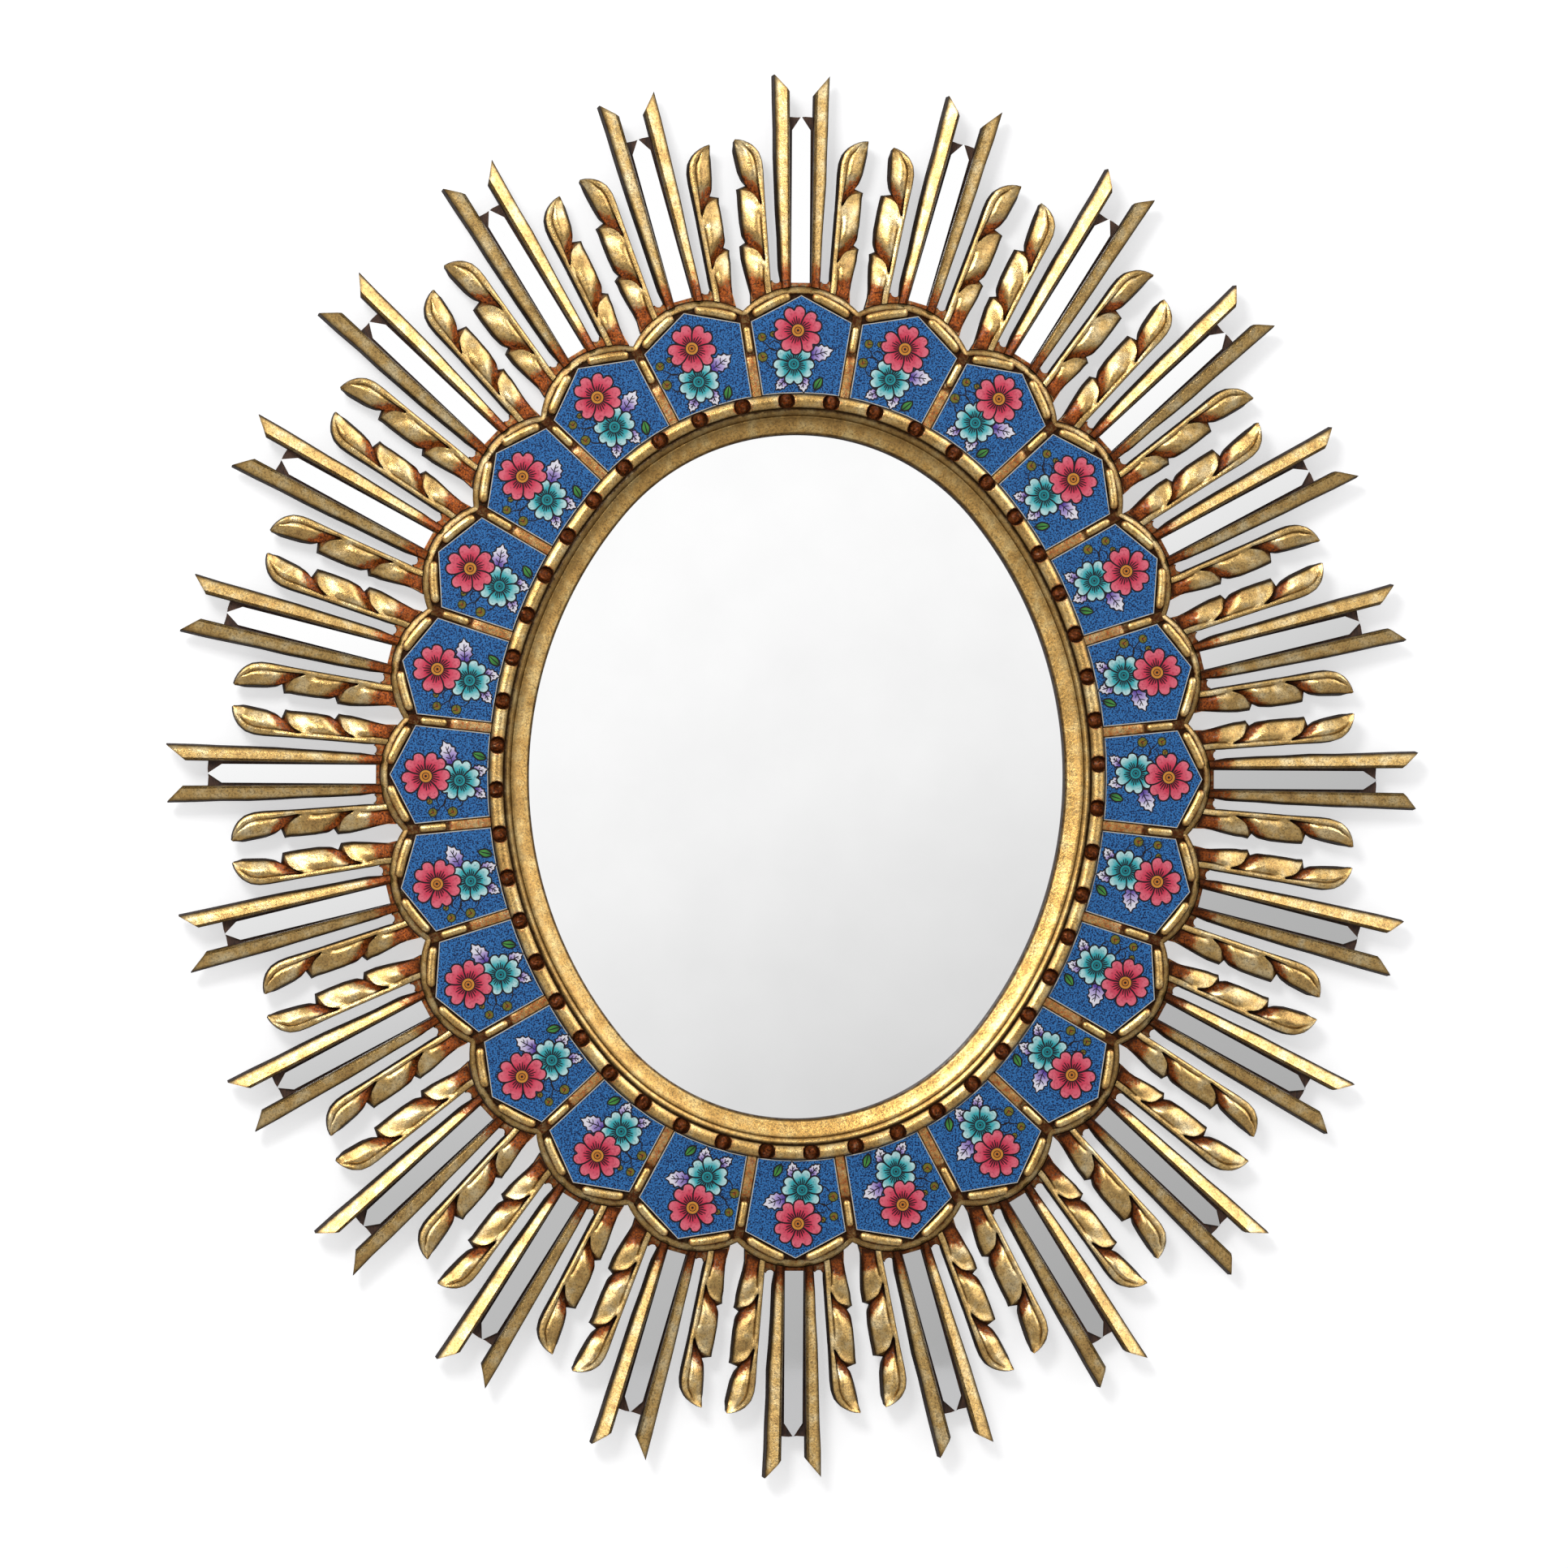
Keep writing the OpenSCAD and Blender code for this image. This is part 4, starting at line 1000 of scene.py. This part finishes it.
for i in range(sectors):
    rng = random.Random(300 + i)
    turn_a = 360 * i / sectors + ray_turn * sin(radians(720 * i / sectors))
    foot = oval_point(facing(i / sectors, ray_line), ray_line)
    # Painted shade: the glaze-and-shade mark lies heavier in the worn hollows of the lower right rays.
    lower_right_shade = 0.55 * (0.5 - 0.5 * cos(radians(turn_a + 40)))
    heap = Heap()
    for mirrored in (False, True):
        for shell, worn, glaze in (blade_shell(rng), leaf_shell(rng)):
            heap.take(on_ray(shell, mirrored), worn, [g + lower_right_shade * w for g, w in zip(glaze, worn)], GILT)
    heap.take(on_ray(root_shell()), 0.75, 0.2 + lower_right_shade, GILT)
    web = [(-5.9, 72.0), (5.9, 72.0), (6.6, 158.2), (2.2, 158.5), (-1.8, 158.1), (-6.6, 158.4)]
    heap.take(on_ray(slab(web, web_level, 9.98)), pick=CEDAR)
    # The tongue, hidden between the board and the surround.
    tongue = [oval_point(facing((i + d) / sectors, 40.0), s) for d, s in
              [(-0.49, 20.6), (-0.25, 20.6), (0.0, 20.6), (0.25, 20.6), (0.49, 20.6),
               (0.49, 62.0), (0.25, 66.0), (0.0, 70.0), (-0.25, 66.0), (-0.49, 62.0)]]
    heap.take(slab(tongue, front_level, 13.98), pick=CEDAR)
    # The block behind the scallop, which joins the tongue to the root and butts against the board.
    bed, _ = on_ray(([(u, scallop_s(u) + 0.45, 0.0) for u in range(24, -25, -3)], []))
    bed = [p[:2] for p in bed]
    bed += [oval_point(facing((i + d) / sectors, board_edge), board_edge) for d in (-0.49, -0.25, 0.0, 0.25, 0.49)]
    heap.take(slab(bed, bed_level, 13.15), pick=CEDAR)
    gilded_piece(f"carved_ray_{i + 1:02d}", f"ray_segment_{i + 1:02d}", (heap.points, heap.faces), heap.worn,
                 heap.glaze, [ray_gilding, stained_cedar], heap.picks, crease=34.0)

# --- Studio ---
# A plain white wall that the mirror hangs on and a pale floor under it, lit by one large soft
# lamp from the upper left and an even room, as the photograph is.


def stage_plane(name, corners, white, glow):
    """White painted surface. From behind it isn't there, so that the mirror's back can be seen."""
    finish, shader, put, place = start_finish(name + "_paint")
    tooth = put("TexNoise", {"Vector": place, "Scale": per_mm(2.0)})
    relief = put("Bump", {"Height": tooth, "Strength": 0.02, "Distance": 0.0002})
    # It glows white for the camera, and a quarter as much for the gilding that mirrors it.
    seen = put("LightPath").outputs
    dim = put("Math", {0: seen["Is Glossy Ray"], 1: 0.25}, operation="MULTIPLY")
    either = put("Math", {0: seen["Is Camera Ray"], 1: dim}, operation="MAXIMUM")
    every = put("Math", {0: either, 1: seen["Is Transmission Ray"]}, operation="MAXIMUM")
    power = put("Math", {0: every, 1: glow}, operation="MULTIPLY")
    put(shader, {"Base Color": (white, white, white, 1.0), "Roughness": 0.9, "Specular IOR Level": 0.0,
                 "Normal": relief, "Emission Color": (1.0, 1.0, 1.0, 1.0), "Emission Strength": power})
    behind = put("NewGeometry").outputs["Backfacing"]
    mix = put("MixShader", {0: behind, 1: shader, 2: put("BsdfTransparent")})
    put(finish.node_tree.nodes["Material Output"], {"Surface": mix})
    mesh = bpy.data.meshes.new(name)
    mesh.from_pydata(corners, [], [(0, 1, 2, 3)])
    mesh.materials.append(finish)
    plane = new_object(mesh)
    return plane


floor_z = -0.45
wall_y = 0.004
wall = stage_plane("white_wall", [(-3, wall_y, floor_z), (3, wall_y, floor_z), (3, wall_y, 3), (-3, wall_y, 3)],
                   0.8, 0.54)
wall.visible_diffuse = False
wall.visible_shadow = False
stage_plane("pale_floor", [(-3, -1.6, floor_z), (3, -1.6, floor_z), (3, 1.6, floor_z), (-3, 1.6, floor_z)], 0.6, 0.4)

lamp = bpy.data.lights.new("softbox", "AREA")
lamp.shape = "RECTANGLE"
lamp.size = 0.55
lamp.size_y = 0.55
lamp.energy = 17.0
softbox = new_object(lamp)
softbox.location = (-0.8, -2.05, 1.0)
softbox.rotation_euler = Vector(softbox.location).to_track_quat("Z", "Y").to_euler()

world = bpy.data.worlds.new("studio_room")
world.use_nodes = True
bpy.context.scene.world = world
put = partial(add, world.node_tree)
look = put("TexCoord").outputs["Generated"]
aside = put("SeparateXYZ", {0: look}).outputs
# What the gilding mirrors: a soft white screen at each side, a bright ceiling and a dim front.
left_right = put("MapRange", {"Value": aside["X"], "From Min": -1.0, "From Max": 1.0})
screens = put("ValToRGB", {"Fac": left_right},
              [(0.0, 0.15), (1.0, 0.15), (0.1, 0.5), (0.18, 0.88), (0.3, 0.36), (0.44, 0.17), (0.6, 0.16),
        (0.7, 0.34), (0.82, 0.66), (0.92, 0.45)])
up_down = put("MapRange", {"Value": aside["Z"], "From Min": -1.0, "From Max": 1.0})
ceiling = put("ValToRGB", {"Fac": up_down},
              [(0.0, 0.25), (1.0, 0.75), (0.16, 0.15), (0.38, 0.26), (0.56, 0.5), (0.72, 0.85), (0.86, 1.0)])
around = put("Mix", {0: 1.0, 6: screens, 7: ceiling}, data_type="RGBA", blend_type="MULTIPLY", clamp_result=False)
strong = put("VectorMath", {0: around.outputs[2], "Scale": 6.3}, operation="SCALE")
# What the mirrors show: a screen straight in front, white above and grey below and to the right.
fade = put("VectorMath", {0: look, 1: (-0.45, 0.0, 0.89)}, operation="DOT_PRODUCT").outputs["Value"]
slope = put("MapRange", {"Value": fade, "From Min": -0.2, "From Max": 0.1})
screen = put("ValToRGB", {"Fac": slope},
             [(0.0, 0.36), (1.0, 1.0), (0.20, 0.44), (0.36, 0.70), (0.52, 0.91), (0.66, 1.0)])
ahead = put("VectorMath", {0: look, 1: (0.09, -0.996, 0.0)}, operation="DOT_PRODUCT").outputs["Value"]
within = put("MapRange", {"Value": ahead, "From Min": 0.985, "From Max": 0.991})
sheen = put("Mix", {0: within, 6: strong, 7: screen}, data_type="RGBA")
# Dull surfaces are lit by an even room, and the camera sees plain white.
ray = put("LightPath").outputs
even = put("Mix", {0: ray["Is Glossy Ray"], 6: (0.55, 0.55, 0.56, 1.0), 7: sheen.outputs[2]}, data_type="RGBA")
shown = put("Mix", {0: ray["Is Camera Ray"], 6: even.outputs[2], 7: (1.0, 1.0, 1.0, 1.0)}, data_type="RGBA")
put(world.node_tree.nodes["Background"], {"Color": shown.outputs[2], "Strength": 1.0})

camera_data = bpy.data.cameras.new("camera")
camera_data.sensor_width = 36.0
camera_data.lens = 138.5
camera = new_object(camera_data)
camera.location = (-0.27, -3.0, 0.0)
aim = Vector((-0.0066, -0.012, -0.0036))
camera.rotation_euler = (Vector(camera.location) - aim).to_track_quat("Z", "Y").to_euler()
camera.rotation_euler.rotate_axis("Z", radians(0.36))
bpy.context.scene.camera = camera
bpy.context.scene.view_settings.view_transform = "Standard"
